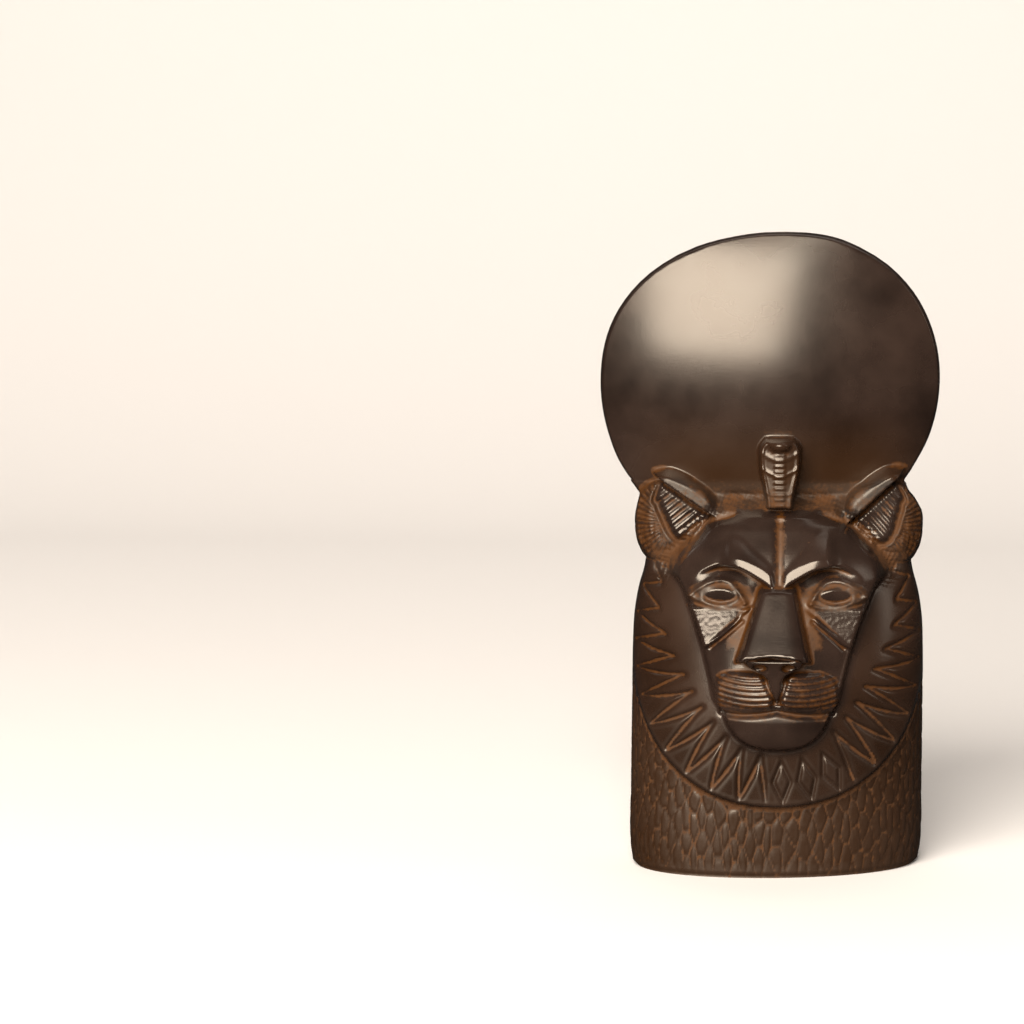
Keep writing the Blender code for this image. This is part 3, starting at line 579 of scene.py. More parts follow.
def ears(x, z, height):
    """The fringe falls off outward, fluted; the cup is a tilted plane of cosine ribs."""
    side = np.abs(x)
    u, v, outline, edge, at_plus = ear_frame(x, z)
    fringe = EAR_LEVEL + 0.5 - 0.30 * (side - 16.0) - 2.2 * ramp(0.6, 1.0, outline)
    fringe = fringe - EAR_FLUTE_DEPTH * ear_flutes(side, z) * ramp(0.0, -1.0, edge)

    lean = np.radians(blend(EAR_RIB_LEANS[0], EAR_RIB_LEANS[1], at_plus))
    rib_turns = (u * np.cos(lean) + v * np.sin(lean)) / EAR_RIB_PITCH
    ribs = 1.0 - (0.5 + 0.5 * np.cos(2.0 * np.pi * rib_turns)) ** 1.6
    floor = CUP_LEVEL - 0.22 * (z - 82.0) + 0.05 * np.clip(v + 4.6, 0.0, None) ** 2
    floor = floor - 0.08 * (1.0 - at_plus) * (side - 24.0)
    floor = floor - 1.3 * ramp(2.4, 0.2, edge) - 1.6 * ramp(-1.6, 0.0, v)
    cup = floor + EAR_RIB_DEPTH * ribs * ramp(0.6, 1.8, edge) * ramp(-0.2, -1.2, v)

    top = through(u, (-8.5, -5.5, 0.0, 4.0, 7.0, 10.5), (0.6, 2.4, 3.2, 3.0, 2.2, 0.0))
    in_fold = ramp(-0.15, 0.15, v) * ramp(1.6, -1.2, v - top) * window(u, -9.5, -6.0, 8.0, 10.5)
    fold = FOLD_LEVEL - 0.14 * (side - 22.0) - 0.10 * v - 2.0 * ramp(6.0, 11.0, u)

    shape = blend(fringe, cup, ramp(-0.4, 0.3, edge) * ramp(0.1, -0.1, v))
    shape = blend(shape, np.maximum(shape, height), ramp(76.5, 74.5, z))
    height = blend(height, shape, ramp(1.0, 0.93, outline))
    return blend(height, np.maximum(fold, height), in_fold)


print("ribs every", EAR_RIB_PITCH, "mm,", EAR_FLUTES, "flutes round each fringe")

# %% [markdown]
# ## The cobra
# A rearing cobra stands before the foot of the disk. It is a tapered shield with a raised
# border, a ladder of belly scales up the middle, three bowed bars, and a round head. It
# could be a mesh of its own, but it was cast with the rest, so it is a height over the disk.

# %% The cobra
COBRA_BOTTOM_Z = 86.3
COBRA_TOP_Z = 102.2
COBRA_HALF_WIDTHS = (3.1, 4.8)
COBRA_BARS = (89.2, 94.0, 97.6)
COBRA_RUNG_PITCH = 1.3
COBRA_X = 0.2
COBRA_LEVEL = 16.2
COBRA_ROUND_Z = 99.2
COBRA_ROUND_HEIGHT = 3.9
COBRA_HEAD_Z = 101.2
COBRA_HEAD_HALF_SIZES = (2.6, 1.7)
COBRA_HEAD_REACH = 2.3


def cobra(x, z, height):
    """A shield laid over the disk, with bells for its border and bars and cosines for rungs."""
    up = np.clip((z - COBRA_BOTTOM_Z) / (COBRA_TOP_Z - COBRA_BOTTOM_Z), 0.0, 1.0)
    half = blend(COBRA_HALF_WIDTHS[0], COBRA_HALF_WIDTHS[1], ramp(0.0, 0.7, up))
    half = half * np.sqrt(1.0 - np.clip((z - COBRA_ROUND_Z) / COBRA_ROUND_HEIGHT, 0.0, 1.0) ** 2)
    offset = np.abs(x - COBRA_X)
    level = COBRA_LEVEL - 0.02 * (z - COBRA_BOTTOM_Z) - 0.05 * offset**2
    inside = ramp(0.45, -0.45, offset - half) * ramp(COBRA_BOTTOM_Z - 0.9, COBRA_BOTTOM_Z + 0.3, z)
    inside = inside * ramp(COBRA_TOP_Z + 0.4, COBRA_TOP_Z - 0.4, z)
    border = 0.45 * bell(offset - half + 0.75, 0.35)
    ladder = ramp(1.5, 1.1, offset) * (0.5 + 0.5 * np.cos(2.0 * np.pi * z / COBRA_RUNG_PITCH))
    level = level - 0.35 + border + 0.45 * ladder * ramp(99.5, 98.5, z)
    for bar_z in COBRA_BARS:
        level = level + 0.35 * bell(z - bar_z - 0.1 * offset**2, 0.3)
    head_up = (z - COBRA_HEAD_Z) / COBRA_HEAD_HALF_SIZES[1]
    head = 1.0 - (offset / COBRA_HEAD_HALF_SIZES[0]) ** 2 - head_up**2
    level = level + COBRA_HEAD_REACH * np.sqrt(np.clip(head, 0.0, None))
    return blend(height, np.maximum(level, height), inside)


print("the cobra is", round(COBRA_TOP_Z - COBRA_BOTTOM_Z, 1), "mm tall")

# %% [markdown]
# ## Locks of hair
# Long cells cover the column below the ruff and all of the back. Each cell belongs to one
# point of a staggered lattice whose points are moved a little, and the groove between two
# locks is where two points are equally near. Seeded moves give the same locks every time.

# %% Locks of hair
LOCK_COUNT = 64
LOCK_LENGTH = 7.5
LOCK_DEPTH = 0.3
LOCK_UNEVENNESS = 0.32
LOCK_POINTEDNESS = 1.5
LOCK_GROOVE_WIDTH = 0.22
LOCK_SEED = 11


def locks(turns, z):
    """A bell of (second nearest - nearest distance) to the lattice's moved points."""
    rows = int(HEIGHT / LOCK_LENGTH) + 3
    moves = np.random.default_rng(LOCK_SEED).uniform(-1.0, 1.0, (2, LOCK_COUNT, rows)) * LOCK_UNEVENNESS
    across = turns * LOCK_COUNT
    along = z / LOCK_LENGTH + 1.0
    first = np.full(np.broadcast(across, along).shape, 9.0)
    second = first.copy()
    for k in (-1, 0, 1):
        column = np.floor(across).astype(int) + k
        wrapped = np.mod(column, LOCK_COUNT)
        stagger = 0.5 * np.mod(wrapped, 2)
        for m in (-1, 0, 1):
            row = np.floor(along - stagger).astype(int) + m
            kept = np.clip(row, 0, rows - 1)
            dx = across - (column + 0.5 + moves[0, wrapped, kept])
            dz = along - stagger - (row + 0.5 + moves[1, wrapped, kept])
            distance = np.hypot(dx, LOCK_POINTEDNESS * dz)
            second = np.minimum(second, np.maximum(first, distance))
            first = np.minimum(first, distance)
    return bell(second - first, LOCK_GROOVE_WIDTH)


print(LOCK_COUNT, "locks to a row, each about", LOCK_LENGTH, "mm long")

# %% [markdown]
# ## One skin
# Rows run up the figure and columns run once round it. Both crowd together where the carving
# is fine, on the face and the ears, and spread out on the back. The points start on the oval
# or the lens, and the front ones are then moved forward or back by each function in turn.

# %% Rows and columns
ROWS = 310
COLUMNS = 306
MEAN_HALF_WIDTH = 34.0
MEAN_HALF_DEPTH = 24.0


def crowded(position, density, count, closed):
    """count positions, spaced so that each step holds the same share of the density."""
    shares = 0.5 * (density[1:] + density[:-1]) * np.diff(position)
    steps = np.concatenate(([0.0], np.cumsum(shares)))
    return np.interp(np.linspace(0.0, steps[-1], count, endpoint=not closed), steps, position)


turn = np.linspace(0.0, 2.0 * np.pi, 4001)
step_round = np.hypot(MEAN_HALF_WIDTH * np.sin(turn), MEAN_HALF_DEPTH * np.cos(turn))
finer_in_front = 1.0 + 1.5 * ramp(-0.1, 0.1, np.sin(turn))
finest_at_face = 1.3 * ramp(0.78, 0.86, np.sin(turn))
angle = crowded(turn, step_round * (finer_in_front + finest_at_face), COLUMNS, True)
lock_share = np.cumsum(step_round * finer_in_front)
lock_turns = np.interp(angle, turn, lock_share / lock_share[-1])

level = np.linspace(0.0, HEIGHT, 6001)
finer_at_face = (1.0 + 0.9 * ramp(10.0, 16.0, level) + 1.2 * ramp(26.0, 32.0, level)
                 - 1.2 * ramp(93.0, 99.0, level) - 1.45 * ramp(102.0, 106.0, level))
rim = 4.0 * ramp(146.0, 150.0, level)
z_rows = crowded(level, finer_at_face + rim, ROWS, False)

for name, steps in (("column", MEAN_HALF_WIDTH * np.diff(angle)), ("row", np.diff(z_rows))):
    print(name, "steps from", np.round(steps.min(), 2), "to", np.round(steps.max(), 2), "mm")

# %% The skin's points
FOOT_ROUNDING = 0.9
FOOT_SKEW = 0.12
DISK_START_Z = 85.0
DISK_FULL_Z = 89.0


def skin(angle, lock_turns, z_rows):
    """Points (x, y, z) in millimetres: oval or lens, carved forward, locks cut inward."""
    z = z_rows[:, None] + 0.0 * angle[None, :]
    cosine = np.cos(angle)[None, :]
    sine = np.sin(angle)[None, :]

    half = larger(column_half_width(z) - 60.0 * ramp(89.5, 93.0, z), disk_half_width(z), 0.5)
    beside_ear = (z > 71.5) & (z < 92.5)
    widened = np.where(beside_ear, np.maximum(half, ear_reach(z)), half)
    half = blend(half, widened, ramp(-0.22, 0.05, sine))
    x = half * cosine + disk_side_shift(z)

    reach = np.where(sine > 0.0, column_front(z), column_back(z))
    fullness = np.where(sine > 0.0, blend(1.0, 0.85, ramp(60.0, 30.0, z)), 1.0)
    oval = reach * np.sign(sine) * np.abs(sine) ** fullness - FOOT_SKEW * x * ramp(50.0, 0.0, z)
    lens = np.sign(sine) * disk_thickness(z, sine) - DISK_SET_BACK
    height = blend(oval, lens, ramp(DISK_START_Z, DISK_FULL_Z, z))

    carved = height
    for carve in (ruff, ears, head_rim, face_plane, sockets, brows, eyes, cheeks,
                  forehead_seam, nose, muzzle, mouth, cobra):
        carved = carve(x, z, carved)
    height = blend(height, carved, ramp(0.0, 0.12, sine))

    below_ruff = ramp(0.99, 1.03, ruff_radius(x, z))
    haired = np.where(sine > 0.0, below_ruff, 1.0) * window(z, 0.0, 3.0, 78.0, 84.0)
    groove = LOCK_DEPTH * haired * locks(lock_turns[None, :], z)
    foot = FOOT_ROUNDING * (1.0 - np.sqrt(1.0 - (1.0 - np.clip(z / FOOT_ROUNDING, 0.0, 1.0)) ** 2))
    x = x - (groove + foot) * cosine
    height = height - (groove + foot) * sine
    return np.stack((x, -height, z), axis=-1)


points = skin(angle, lock_turns, z_rows)
print("skin", points.shape, "size", np.round(np.ptp(points, axis=(0, 1)), 2), "mm")

# %% [markdown]
# ## From points to a mesh
# Four neighbours make a face, the last column joins the first, and a fan of triangles
# closes the foot and the top. The whole is then fitted to the solid's own box, so that the
# fine skin and the solid that the simulation uses stand in exactly the same place. A
# subdivided copy of the solid would be quicker, but it would round off every sharp edge.

# %% Build the mesh
SOLID = "sekhmet_bust"
low, high = (np.array(corner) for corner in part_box(SOLID))


def to_frame(millimetres):
    """The skin's own millimetres moved and stretched by a hair into the solid's box."""
    least = points.min(axis=(0, 1))
    span = np.ptp(points, axis=(0, 1))
    return low + (millimetres - least) / span * (high - low)


def closed_mesh(name, grid):
    """Quads between the rows, a fan under the foot and one on the top, all facing outward."""
    rows, columns, _ = grid.shape
    flat = to_frame(grid.reshape(-1, 3))
    foot = np.append(flat[:columns].mean(axis=0)[:2], flat[:, 2].min())
    top = flat[-columns:].mean(axis=0)
    here = np.arange(columns)
    ahead = np.roll(here, -1)
    base = (np.arange(rows - 1) * columns)[:, None]
    quads = np.stack((base + here, base + columns + here, base + columns + ahead, base + ahead), axis=-1)
    last = (rows - 1) * columns
    under = np.stack((np.full(columns, rows * columns), ahead, here), axis=-1)
    over = np.stack((np.full(columns, rows * columns + 1), here + last, ahead + last), axis=-1)
    faces = []
    for group in (quads.reshape(-1, 4), under, over):
        faces += group[:, ::-1].tolist()
    mesh = bpy.data.meshes.new(name)
    mesh.from_pydata(np.vstack((flat, foot, top)).tolist(), [], faces)
    mesh.update()
    return mesh


skin_mesh = closed_mesh("sekhmet_bust_skin", points)
bust = bpy.data.objects.new("sekhmet_bust_skin", skin_mesh)
bpy.context.scene.collection.objects.link(bust)
skin_mesh.shade_smooth()
print("triangles:", sum(len(p.vertices) - 2 for p in skin_mesh.polygons))

# %% [markdown]
# ## Where the pigment lies
# Ochre pigment was brushed on and wiped off, so it stays in the grooves. How deep a point
# lies is measured: the mean place of its neighbours less its own place, along the normal.
# Broad washes, round the forehead, on the fringes and beside the nose, are added by the
# same curves that shaped them. Three more values follow: edges worn shiny, a thin haze of
# pigment, and places left dull. They could be painted by hand on the mesh, but written out
# they stay with the carving when a size changes.

# %% Depth of each point below its surroundings
def box_mean(values, reach, wrap):
    """The mean over reach steps to both sides, along the first axis, by a running sum."""
    before = values[-reach:] if wrap else np.repeat(values[:1], reach, axis=0)
    after = values[:reach] if wrap else np.repeat(values[-1:], reach, axis=0)
    padded = np.concatenate((before, values, after))
    total = np.cumsum(np.concatenate((np.zeros_like(padded[:1]), padded)), axis=0)
    return (total[2 * reach + 1:] - total[:-2 * reach - 1]) / (2 * reach + 1)


def spread(grid, reach):
    """box_mean up the rows and then round the columns."""
    up = box_mean(grid, reach, False)
    return np.swapaxes(box_mean(np.swapaxes(up, 0, 1), reach, True), 0, 1)


def outward_normals(grid):
    """The cross product of the step round and the step up, at unit length."""
    along = np.roll(grid, -1, axis=1) - np.roll(grid, 1, axis=1)
    up = np.gradient(grid, axis=0)
    normal = np.cross(along, up)
    return normal / np.maximum(np.linalg.norm(normal, axis=-1, keepdims=True), 1e-9)


DEPTH_REACH = 3
front_column = np.argmax(np.sin(angle))
normals = outward_normals(points)
normals = normals * -np.sign(normals[ROWS // 5, front_column, 1])
near = np.sum((spread(points, DEPTH_REACH) - points) * normals, axis=-1)
near = near * ramp(HEIGHT, HEIGHT - 1.5, z_rows)[:, None]
print("deepest point lies", round(float(near.max()), 2), "mm below its surroundings")

# %% Places on the figure
x_grid = points[:, :, 0]
z_grid = points[:, :, 2]
side_grid = np.abs(x_grid)
ruff_grid = ruff_radius(x_grid, z_grid)
edge_gap = face_gap(x_grid, z_grid)
forehead_gap = np.maximum(z_grid - FOREHEAD_TOP_Z, side_grid - face_half_width(z_grid))
_, ear_v, ear_outline, ear_edge, _ = ear_frame(x_grid, z_grid)

in_front = ramp(0.02, 0.15, np.sin(angle))[None, :]
on_column = ramp(1.0, 1.05, ruff_grid) * ramp(60.0, 45.0, z_grid)
on_disk = ramp(104.0, 118.0, z_grid)
beside_cobra = window(side_grid, 2.6, 3.8, 7.0, 9.0) * ramp(85.0, 88.0, z_grid)
behind_head = window(z_grid, 84.5, 86.0, 90.0, 93.0) * ramp(30.0, 20.0, side_grid)
below_ear = window(z_grid, 69.5, 71.0, 76.0, 79.0) * window(side_grid, 22.5, 24.0, 29.0, 31.0)
in_mouth = window(z_grid, 37.9, 38.7, 40.6, 41.4) * ramp(0.2, -0.6, edge_gap)
on_pads = ramp(15.0, 13.0, side_grid) * window(z_grid, 40.5, 42.0, 48.5, 50.5)
on_pads = on_pads * ramp(0.3, 1.0, beside_wedge(x_grid, z_grid))
from_eye = np.hypot((side_grid - EYE_X) / EYE_HALF_WIDTH, (z_grid - EYE_Z) / EYE_HALF_HEIGHT)
lids = window(from_eye, 0.9, 1.1, 1.9, 2.4)

fringe = ramp(1.02, 0.97, ear_outline) * ramp(1.2, 0.3, ear_edge) * ramp(0.2, -0.4, ear_v)
fringe = fringe * ramp(0.2, 1.2, forehead_gap) * blend(0.55, 1.0, ear_flutes(side_grid, z_grid))
in_fold = window(ear_v, -0.1, 0.2, 2.6, 3.4) * ramp(1.12, 1.02, ear_outline) * ramp(77.0, 79.0, z_grid)
in_cup = ramp(-0.2, 0.4, ear_edge) * ramp(0.0, -0.4, ear_v) * ramp(1.0, 0.95, ear_outline)
cup_rim = bell(ear_edge - 0.2, 1.1) * ramp(0.0, -0.5, ear_v) * ramp(1.0, 0.95, ear_outline)
print("the fringes hold", int((fringe > 0.5).sum()), "points and the column", int((on_column > 0.5).sum()))

# %% Ochre pigment, from 0 to 1
valley = window(edge_gap, -2.0, -0.5, 3.5, 5.0) * ramp(73.0, 70.0, z_grid)
lozenges = window(z_grid, 10.0, 14.0, 31.0, 35.0) * window(x_grid, -4.0, -1.0, 15.0, 18.0)
lozenges = lozenges * ramp(0.98, 0.95, ruff_grid)
plain = np.maximum(valley, lozenges) * in_front
in_grooves = ramp(0.02, 0.20, near) * (1.0 - 0.85 * plain) * blend(0.25, 1.0, in_front)
wiped_above_fold = 0.6 * ramp(2.8, 3.6, ear_v) * ramp(80.0, 84.0, z_grid)
in_grooves = in_grooves * (1.0 - 0.8 * on_pads) * (1.0 - wiped_above_fold)

forehead_rim = window(forehead_gap, 0.3, 1.2, 3.5, 5.0) * window(z_grid, 70.0, 73.0, 87.5, 89.5)
seam = bell(x_grid - SEAM_X, 1.25) * window(z_grid, 68.0, 70.0, 84.0, 86.0)
nose_down = np.clip((BRIDGE_TOP_Z - z_grid) / (BRIDGE_TOP_Z - NOSE_TIP_Z), 0.0, 1.0)
nose_half = blend(NOSE_HALF_WIDTHS[0], NOSE_HALF_WIDTHS[1], nose_down)
beside_nose = np.abs(x_grid - NOSE_SKEW * nose_down) - nose_half
nose_sides = window(beside_nose, 0.2, 0.9, 2.0, 5.0) * window(z_grid, 53.5, 56.0, 66.0, 68.5)
pad_ridges = on_pads * blend(1.0, 0.15, whisker_grooves(side_grid, z_grid))
ruff_line = bell(ruff_grid - 1.012, 0.012) * ramp(60.0, 45.0, z_grid)
washes = (0.8 * forehead_rim + 0.75 * fringe + seam + 0.9 * nose_sides + 0.8 * pad_ridges
          + 0.5 * ruff_line + 0.45 * lids)
ochre = np.clip(in_grooves + washes * in_front, 0.0, 1.0)
ochre = ochre * (1.0 - 0.1 * on_column) * (1.0 - 0.6 * beside_cobra * in_front)

between_locks = on_column * ramp(0.35, 0.9, locks(lock_turns[None, :], z_grid))
covered = np.maximum(0.85 * cup_rim, 0.8 * below_ear * ramp(72.5, 74.0, z_grid))
for share, place in ((0.5, in_mouth), (0.45, behind_head), (0.65, between_locks)):
    covered = np.maximum(covered, share * place)
ochre = np.maximum(ochre, covered * in_front)
print("ochre covers", round(100 * float((ochre > 0.5).mean())), "percent of the points")

# %% Wear, haze and dull places, from 0 to 1
worn = ramp(0.02, 0.18, -near) * (1.0 - fringe * ramp(0.98, 0.93, ear_outline))

around_head = ramp(0.5, 2.0, forehead_gap) * window(z_grid, 80.0, 84.0, 92.0, 112.0)
around_head = around_head * ramp(38.0, 20.0, side_grid) * (1.0 - in_fold) * (1.0 - in_cup)
among_tufts = ramp(1.0, 0.97, ruff_grid) * ramp(0.5, 3.0, edge_gap) * ramp(76.0, 72.0, z_grid)
haze = np.clip(0.9 * around_head + 0.35 * among_tufts + 0.5 * fringe, 0.0, 1.0)
haze = np.clip((haze + 0.8 * on_column + 0.5 * lids) * in_front, 0.0, 1.0)

sharp = ramp(0.03, 0.15, np.abs(near)) * ramp(46.0, 36.0, z_grid) * ramp(0.5, 1.5, edge_gap)
matte = in_fold + cup_rim + below_ear + behind_head + 0.8 * in_mouth + 0.7 * lids
matte = matte + 0.8 * sharp + 0.3 * on_disk + 0.15 * on_column + 0.15 * in_cup
matte = np.clip(matte, 0.0, 1.0) * in_front


def store(mesh, name, grid):
    """One value for each point, and the nearest row's mean for the two closing points."""
    values = np.concatenate((grid.ravel(), [grid[0].mean(), grid[-1].mean()])).astype(np.float32)
    attribute = mesh.attributes.new(name, "FLOAT", "POINT")
    attribute.data.foreach_set("value", values)


for name, grid in (("ochre", ochre), ("worn", worn), ("haze", haze), ("matte", matte)):
    store(skin_mesh, name, grid)
    print(name, "is", round(float(grid.mean()), 2), "on average")

# %% [markdown]
# ## The waxed resin
# One Principled shader is enough for cast resin with wax on it: dark, not metallic, and
# fairly smooth. The ochre value, broken up by noise, mixes in the pigment's colour and
# makes the surface dull there. Haze warms the resin, dull places scatter the light, and
# worn edges are a little smoother. Fine cross strokes in the bump stand for brushed wax.
# A clear coat over the resin would also do, but real wax sinks in and has no second gloss.

# %% Waxed resin with ochre pigment
RESIN_DARK = (0.0085, 0.0048, 0.0036, 1.0)
RESIN_LIGHT = (0.023, 0.0130, 0.0094, 1.0)
OCHRE_DEEP = (0.032, 0.0095, 0.0008, 1.0)
OCHRE_PALE = (0.070, 0.0215, 0.0010, 1.0)
HAZE_COLOUR = (0.028, 0.0102, 0.0024, 1.0)
SHEEN_TINT = (1.0, 0.88, 0.74, 1.0)
TONE_SCALE = 45.0
PATCH_SCALE = 260.0
GRAIN_SCALE = 900.0
STROKE_SCALES = (300.0, 3500.0)
WAX_ROUGHNESS = (0.18, 0.27)
OCHRE_ROUGHNESS = 0.28
FILM_ROUGHNESS = 0.25
WORN_ROUGHNESS = -0.06
BUMP_STRENGTH = 0.16
BUMP_DISTANCE = 0.05 * MM


def node(tree, kind, place, **settings):
    """A node of that kind at that place, with the named properties set."""
    made = tree.nodes.new(kind)
    made.location = place
    for name, value in settings.items():
        setattr(made, name, value)
    return made


def stored(tree, place, name):
    """The value that the points hold under that name."""
    return node(tree, "ShaderNodeAttribute", place, attribute_name=name).outputs["Fac"]


def noise(tree, coordinate, place, scale, detail, roughness=0.55):
    """Noise over the object's own metres."""
    made = node(tree, "ShaderNodeTexNoise", place)
    made.inputs["Scale"].default_value = scale
    made.inputs["Detail"].default_value = detail
    made.inputs["Roughness"].default_value = roughness
    tree.links.new(coordinate, made.inputs["Vector"])
    return made.outputs["Fac"]


def remap(tree, value, place, source, target):
    """A value carried from one range to another, held at the ends."""
    made = node(tree, "ShaderNodeMapRange", place)
    made.inputs["From Min"].default_value, made.inputs["From Max"].default_value = source
    made.inputs["To Min"].default_value, made.inputs["To Max"].default_value = target
    tree.links.new(value, made.inputs["Value"])
    return made.outputs["Result"]


def mixed(tree, place, factor, first, second):
    """A colour between two colours; either may be a plain colour or a socket."""
    made = node(tree, "ShaderNodeMix", place, data_type="RGBA")
    tree.links.new(factor, made.inputs["Factor"])
    for name, colour in (("A", first), ("B", second)):
        socket = [s for s in made.inputs if s.name == name and s.type == "RGBA"][0]
        if isinstance(colour, tuple):
            socket.default_value = colour
        else:
            tree.links.new(colour, socket)
    return [s for s in made.outputs if s.type == "RGBA"][0]


def arithmetic(tree, place, operation, first, second):
    """One sum or product of two values; the second may be a plain number."""
    made = node(tree, "ShaderNodeMath", place, operation=operation)
    tree.links.new(first, made.inputs[0])
    if isinstance(second, float):
        made.inputs[1].default_value = second
    else:
        tree.links.new(second, made.inputs[1])
    return made.outputs[0]


def brushed(tree, coordinate, place, scale):
    """Noise drawn out into strokes by a different scale along each axis."""
    stretched = node(tree, "ShaderNodeMapping", place)
    stretched.inputs["Scale"].default_value = scale
    tree.links.new(coordinate, stretched.inputs["Vector"])
    return noise(tree, stretched.outputs["Vector"], (place[0] + 200, place[1]), 1.0, 2.0)


def waxed_resin():
    """Resin colour by slow noise, a thin haze over it, then ochre broken up by fine noise."""
    material = bpy.data.materials.new("waxed_resin_with_ochre")
    material.use_nodes = True
    tree = material.node_tree
    shader = tree.nodes["Principled BSDF"]
    shader.inputs["Specular Tint"].default_value = SHEEN_TINT
    place = node(tree, "ShaderNodeTexCoord", (-1600, 0)).outputs["Object"]
    pigment = stored(tree, (-1600, -300), "ochre")
    wear = stored(tree, (-1600, -500), "worn")
    thin = stored(tree, (-1600, -700), "haze")
    dull_place = stored(tree, (-1600, -900), "matte")

    slow = noise(tree, place, (-1300, 300), TONE_SCALE, 4.0)
    tone = remap(tree, slow, (-1100, 300), (0.35, 0.65), (0.0, 1.0))
    resin = mixed(tree, (-900, 300), tone, RESIN_DARK, RESIN_LIGHT)
    hazy = arithmetic(tree, (-900, 450), "MULTIPLY", thin, 0.8)
    resin = mixed(tree, (-700, 300), hazy, resin, HAZE_COLOUR)
    grains = noise(tree, place, (-1300, 0), GRAIN_SCALE, 3.0, 0.7)
    patches = noise(tree, place, (-1300, -150), PATCH_SCALE, 3.0, 0.6)
    broken = arithmetic(tree, (-1100, -50), "ADD", grains, patches)
    broken = remap(tree, broken, (-950, -50), (0.75, 1.25), (-0.35, 0.35))
    amount = arithmetic(tree, (-800, -200), "ADD", pigment, broken)
    amount = remap(tree, amount, (-650, -200), (0.36, 0.95), (0.0, 1.0))
    powder = mixed(tree, (-900, 100), grains, OCHRE_DEEP, OCHRE_PALE)
    colour = mixed(tree, (-400, 200), amount, resin, powder)
    tree.links.new(colour, shader.inputs["Base Color"])

    dull = remap(tree, amount, (-400, -50), (0.0, 1.0), (0.0, OCHRE_ROUGHNESS))
    uneven = remap(tree, slow, (-400, -200), (0.3, 0.7), WAX_ROUGHNESS)
    rough = arithmetic(tree, (-200, -100), "ADD", uneven, dull)
    film = arithmetic(tree, (-350, -350), "MULTIPLY", thin, 0.5)
    film = arithmetic(tree, (-200, -350), "ADD", film, dull_place)
    film = arithmetic(tree, (-200, -450), "MULTIPLY", film, FILM_ROUGHNESS)
    rough = arithmetic(tree, (-100, -100), "ADD", rough, film)
    rub = arithmetic(tree, (-200, -250), "MULTIPLY", wear, WORN_ROUGHNESS)
    tree.links.new(arithmetic(tree, (-50, -150), "ADD", rough, rub), shader.inputs["Roughness"])

    along, over = STROKE_SCALES
    across = brushed(tree, place, (-1300, -600), (along, along, over))
    upward = brushed(tree, place, (-1300, -900), (over, over, along))
    strokes = arithmetic(tree, (-900, -700), "ADD", across, upward)
    surface = arithmetic(tree, (-700, -700), "ADD", strokes, grains)
    bump = node(tree, "ShaderNodeBump", (-400, -600))
    bump.inputs["Strength"].default_value = BUMP_STRENGTH
    bump.inputs["Distance"].default_value = BUMP_DISTANCE
    tree.links.new(surface, bump.inputs["Height"])
    tree.links.new(bump.outputs["Normal"], shader.inputs["Normal"])
    return material


skin_mesh.materials.append(waxed_resin())
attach(bust, "root")
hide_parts(SOLID)
print("material:", skin_mesh.materials[0].name)

# %% [markdown]
# ## A floor and a backdrop
# The bust stands on a plain pale sweep: a floor that curves up into a wall, so that no
# line shows behind the object. A flat floor under an even sky would be simpler, but it
# ends in a horizon. The sweep is kept out of reflections, which the panels alone give.

# %% The sweep
SWEEP_HALF_WIDTH = 1.6
SWEEP_NEAR_Y = -0.3
SWEEP_WALL_Y = 1.1
SWEEP_WALL_HEIGHT = 1.6
SWEEP_RADIUS = 0.5
PAPER_COLOUR = (0.73, 0.695, 0.665, 1.0)
PAPER_ROUGHNESS = 0.9


def sweep_mesh():
    """A profile of floor, quarter circle and wall, drawn straight across."""
    bend = np.linspace(0.0, 0.5 * np.pi, 24)
    bend_y = SWEEP_WALL_Y - SWEEP_RADIUS * (1.0 - np.sin(bend))
    bend_z = SWEEP_RADIUS * (1.0 - np.cos(bend))
    y = np.concatenate(([SWEEP_NEAR_Y], bend_y, [SWEEP_WALL_Y]))
    z = np.concatenate(([0.0], bend_z, [SWEEP_WALL_HEIGHT]))
    x = np.array([-SWEEP_HALF_WIDTH, SWEEP_HALF_WIDTH])
    grid = np.stack(np.broadcast_arrays(x[:, None], y[None, :], z[None, :]), axis=-1)
    k = np.arange(len(y) - 1)
    faces = np.stack((k, k + len(y), k + len(y) + 1, k + 1), axis=-1)
    mesh = bpy.data.meshes.new("sweep")
    mesh.from_pydata(grid.reshape(-1, 3).tolist(), [], faces.tolist())
    mesh.shade_smooth()
    return mesh


paper = bpy.data.materials.new("pale_paper")
paper.use_nodes = True
paper.node_tree.nodes["Principled BSDF"].inputs["Base Color"].default_value = PAPER_COLOUR
paper.node_tree.nodes["Principled BSDF"].inputs["Roughness"].default_value = PAPER_ROUGHNESS
sweep = bpy.data.objects.new("sweep", sweep_mesh())
sweep.data.materials.append(paper)
bpy.context.scene.collection.objects.link(sweep)
sweep.visible_glossy = False
print("sweep of", len(sweep.data.polygons), "faces")

# %% [markdown]
# ## Light
# One large soft panel stands to the left of the camera and fills the upper left of the disk
# with its reflection. A weaker panel on the right keeps that side from going black. Two more
# hang behind the figure: one brings out its top edges, and one lights the wall evenly. Small
# lamps would be easier to place, but wax would show each of them as a hard white spot.

# %% Lights
AIM = Vector((0.0, 0.0, 0.09))
WALL_AIM = Vector((-0.15, 0.85, 0.05))
SKY_COLOUR = (1.0, 0.96, 0.9, 1.0)
SKY_STRENGTH = 0.03


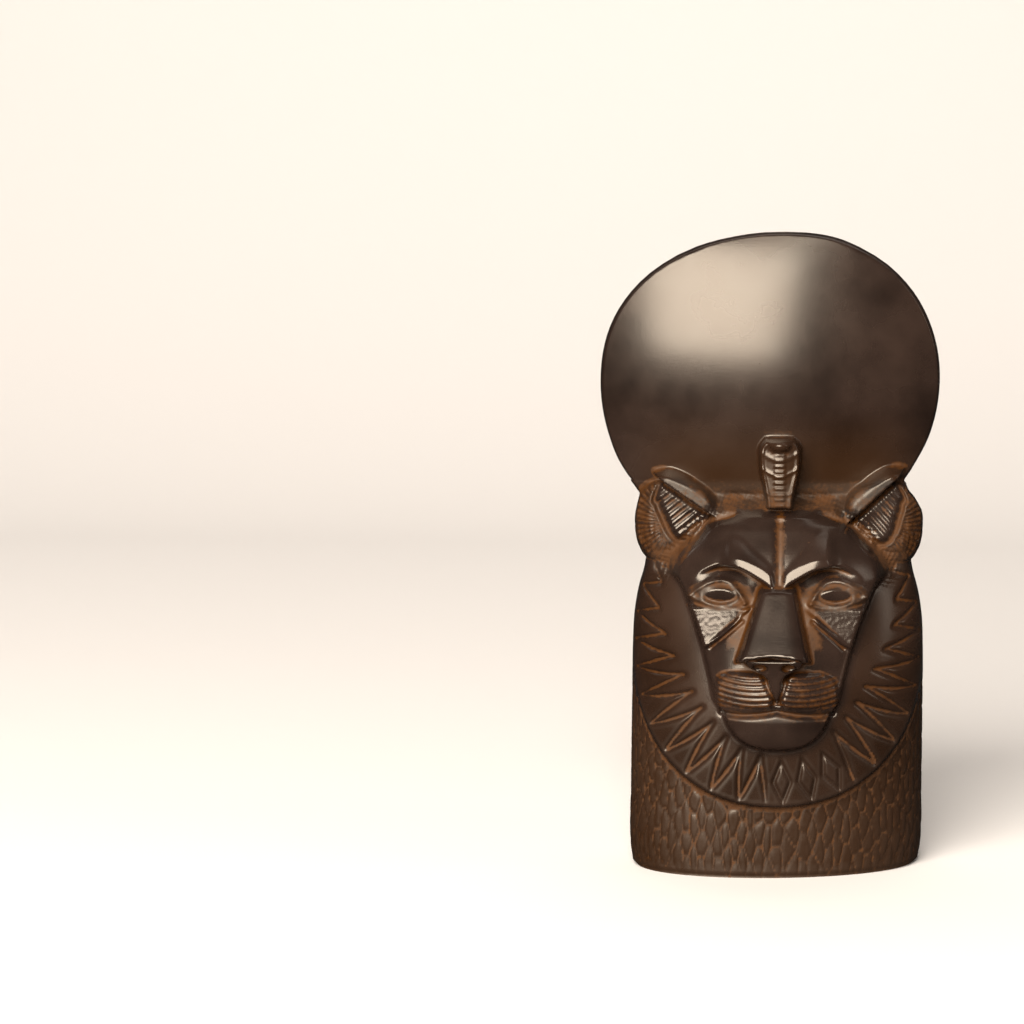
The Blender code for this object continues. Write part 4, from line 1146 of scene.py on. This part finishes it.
def panel(name, place, width, height, power, colour, aim=AIM):
    """A rectangular area light at that place, turned to the figure or to another aim."""
    lamp = bpy.data.lights.new(name, "AREA")
    lamp.shape = "RECTANGLE"
    lamp.size = width
    lamp.size_y = height
    lamp.energy = power
    lamp.color = colour
    made = bpy.data.objects.new(name, lamp)
    made.location = place
    made.rotation_euler = (aim - Vector(place)).to_track_quat("-Z", "Y").to_euler()
    bpy.context.scene.collection.objects.link(made)
    return made


panel("key_panel", (-0.31, -1.08, 0.66), 0.86, 0.96, 50.0, (1.0, 0.94, 0.86))
panel("fill_panel", (0.95, -0.30, 0.55), 0.20, 0.60, 1.0, (1.0, 0.97, 0.94))
panel("top_panel", (0.10, 0.35, 1.45), 1.20, 0.50, 2.5, (1.0, 0.95, 0.91))
panel("wall_panel", (-0.10, 0.45, 0.80), 1.60, 0.30, 2.7, (1.0, 0.96, 0.93), WALL_AIM)
world = bpy.data.worlds.new("studio")
world.use_nodes = True
world.node_tree.nodes["Background"].inputs["Color"].default_value = SKY_COLOUR
world.node_tree.nodes["Background"].inputs["Strength"].default_value = SKY_STRENGTH
bpy.context.scene.world = world
bpy.context.scene.view_settings.view_transform = "Standard"

# %% [markdown]
# ## Camera
# A long lens looks at the figure from slightly above. It stands straight before the
# figure's own middle line and is turned aside, which leaves the figure right of centre.

# %% Camera
FOCAL_PIXELS = 3600.0
IMAGE_PIXELS = 1024.0
SENSOR_MM = 36.0
CAMERA_DISTANCE = 0.85
CAMERA_HEIGHT = 0.1848
DOWN_DEGREES = 6.8
FIGURE_PIXEL = 780.5

axis = to_frame(np.zeros(3))
camera = bpy.data.cameras.new("camera")
camera.sensor_width = SENSOR_MM
camera.lens = FOCAL_PIXELS / IMAGE_PIXELS * SENSOR_MM
camera.clip_start = 0.02
aside = np.arctan2(FIGURE_PIXEL - 0.5 * IMAGE_PIXELS, FOCAL_PIXELS)
down = np.radians(DOWN_DEGREES)
looking = Matrix.Rotation(aside, 3, "Z") @ Vector((0.0, np.cos(down), -np.sin(down)))
viewpoint = bpy.data.objects.new("camera", camera)
viewpoint.location = (axis[0], axis[1] - CAMERA_DISTANCE, CAMERA_HEIGHT)
viewpoint.rotation_euler = looking.to_track_quat("-Z", "Y").to_euler()
bpy.context.scene.collection.objects.link(viewpoint)
bpy.context.scene.camera = viewpoint
print("figure's axis at", np.round(axis * 1000, 2), "mm; lens", round(camera.lens, 1), "mm")
